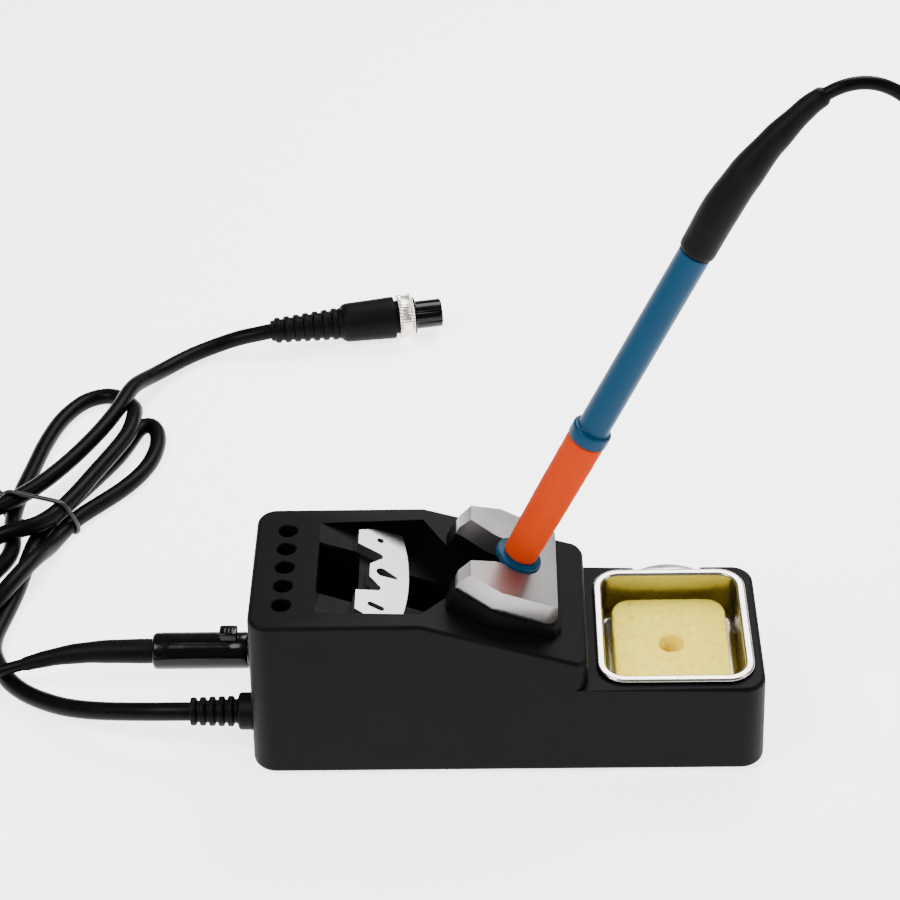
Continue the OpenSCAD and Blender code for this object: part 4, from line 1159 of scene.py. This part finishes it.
def makeConnector():
    back, front = link["back"], link["front"]
    boot = [(0, back), (3.3, back), (3.9, back + 0.15)]
    boot += ribProfile(back + 0.2, link["bootEnd"], link["bootRibs"], 5.1, 6.35, 0.95, 0.58)
    boot += [(5.7, -27.5), (6.1, -27.0), (6.3, -26.1), (0, -26.1)]
    bm = turned(boot, connector, 56)
    pieces = [piece(bm, "ConnectorBoot", "stand", rubber, "black_rubber", "connector_boot")]
    shell = [(0, -26.3), (5.9, -26.3), (6.6, -26.0), (7.3, -25.2), (7.75, -24.2), (7.85, -23)]
    shell += [(8.1, -15), (8.42, -6.4)]
    shell += [(8.0 + c, -4.9 + s) for c, s in bendOf(0.45, 0, 90)]
    shell += [(6.6, -4.4), (6.6, 3.2), (0, 3.2)]
    bm = turned(shell, connector, 72)
    pieces.append(piece(bm, "ConnectorShell", "stand", black, "black_plastic", "connector_shell"))
    half, band, rim = link["ringHalf"], link["ringBand"], link["ringRadius"]
    ring = [(6.75, -half), (8.3, -half)]
    ring += [(8.5 + c, -half + 0.3 + s) for c, s in bendOf(0.3, -90, 0, 3)]
    ring += [(rim, -half + band), (8.55, -half + band + 0.15), (8.55, half - band - 0.15), (rim, half - band)]
    ring += [(8.5 + c, half - 0.3 + s) for c, s in bendOf(0.3, 0, 90, 3)]
    ring += [(6.75, half), (6.75, -half)]
    bm = turned(ring, connector, 288)
    knurled(bm, connector, rim, link["teeth"], link["toothDeep"])
    pieces.append(piece(bm, "CouplingRing", "ring", nickel, "nickel", "coupling_ring", smooth=40))
    barrel = [(0, 3.2), (7.4, 3.2), (7.5, 3.35), (7.5, 3.75), (7.3, 3.9), (5.65, 3.95), (5.65, front - 0.4)]
    barrel += [(5.3, front), (4.85, front), (4.85, front - 8), (0, front - 8)]
    bm = turned(barrel, connector, 128)
    inverse = connector.inverted()
    for v in bm.verts:
        # keyways cut in the mouth of the barrel
        local = inverse @ v.co
        rho = math.hypot(local.x, local.y)
        a = math.degrees(math.atan2(local.y, local.x)) % link["keyStep"]
        if rho > 5.2 * mm and local.z > 5 * mm and a < link["keyWide"]:
            scale = link["keyRadius"] * mm / rho
            v.co = connector @ Vector((local.x * scale, local.y * scale, local.z))
    pieces.append(piece(bm, "ConnectorBarrel", "stand", gloss, "gloss_black", "connector_barrel"))
    finish("connector_pins", gold)
    return pieces


tieSize = {
    "along": (37, 110, 0),  # the way the strands run through it
    "reach": 22, "strand": 3.85, "wire": 0.85, "endWire": 0.6, "endSteps": 16,
}


def makeTie():
    # a wire drawn tight round the strands, where the hank is held together
    low, high = nodeBox("hank_tie")
    middle = (low + high) / 2
    along = Vector(tieSize["along"]).normalized()
    side = Vector((along.y, -along.x, 0))
    strand = tieSize["strand"]
    dots = []
    for a, b in zip(outputLine, outputLine[1:]):
        u, v = (a - middle).dot(along), (b - middle).dot(along)
        if u * v <= 0 and u != v:
            hit = a.lerp(b, u / (u - v))
            off = (hit - middle).dot(side)
            if abs(off) < tieSize["reach"]:
                dots += [(off + strand * math.cos(t), hit.z + strand * math.sin(t))
                         for t in (math.radians(20 * k) for k in range(18))]
    hull = convexLoop(dots)
    loop = [middle + side * p[0] + Vector((0, 0, p[1] - middle.z)) for p in hull]
    for p in loop:
        p.z = max(p.z, 0.75)
    closed = smoothRoute([tuple(p) for p in loop + loop[:2]], 1.0, 3)
    whole = tubeMesh("TieLoop", closed, tieSize["wire"], 6)
    # the twisted ends stand off one side
    knot = min(loop, key=lambda p: (p - middle).dot(side) - p.z * 0.4)
    for turn in (0, 1):
        ends = []
        for k in range(tieSize["endSteps"]):
            a = k * 0.9 + math.pi * turn
            ends.append(knot + Vector((math.cos(a) * 0.8 - k * 0.55, k * 0.25, math.sin(a) * 0.8 + k * 0.3)))
        end = tubeMesh("TieEnd", smoothRoute([tuple(p) for p in ends], 0.8), tieSize["endWire"], 4)
        whole = merged(whole, end)
    return piece(whole, "HankTie", "stand", tieBlack, "tie_wire", "hank_tie", smooth=60)


def convexLoop(dots):
    # the outermost of a set of flat points, in order
    dots = sorted(set(dots))

    def half(points):
        out = []
        for p in points:
            while len(out) > 1:
                (ax, ay), (bx, by) = out[-2], out[-1]
                if (bx - ax) * (p[1] - ay) - (by - ay) * (p[0] - ax) > 0:
                    break
                out.pop()
            out.append(p)
        return out[:-1]

    return half(dots) + half(dots[::-1])


makeStand()
print("stand made")
makeTray()
makeSponge()
print("tray and sponge made")
makeIron()
makeCartridge()
relief = makeStrainRelief()
print("iron made")
plugPieces = makePlug()
makeSocket()
glandPiece = makeGland()
connectorPieces = makeConnector()
tie = makeTie()
print("plugs and tie made")

tuple(handleLine[0] * mm)
lengthOf(handleLine)
metres(handleLine)
tuple(plugLine[-1] * mm)
lengthOf(plugLine)
metres(plugLine)
tuple(outputLine[0] * mm)
lengthOf(outputLine)
metres(outputLine)
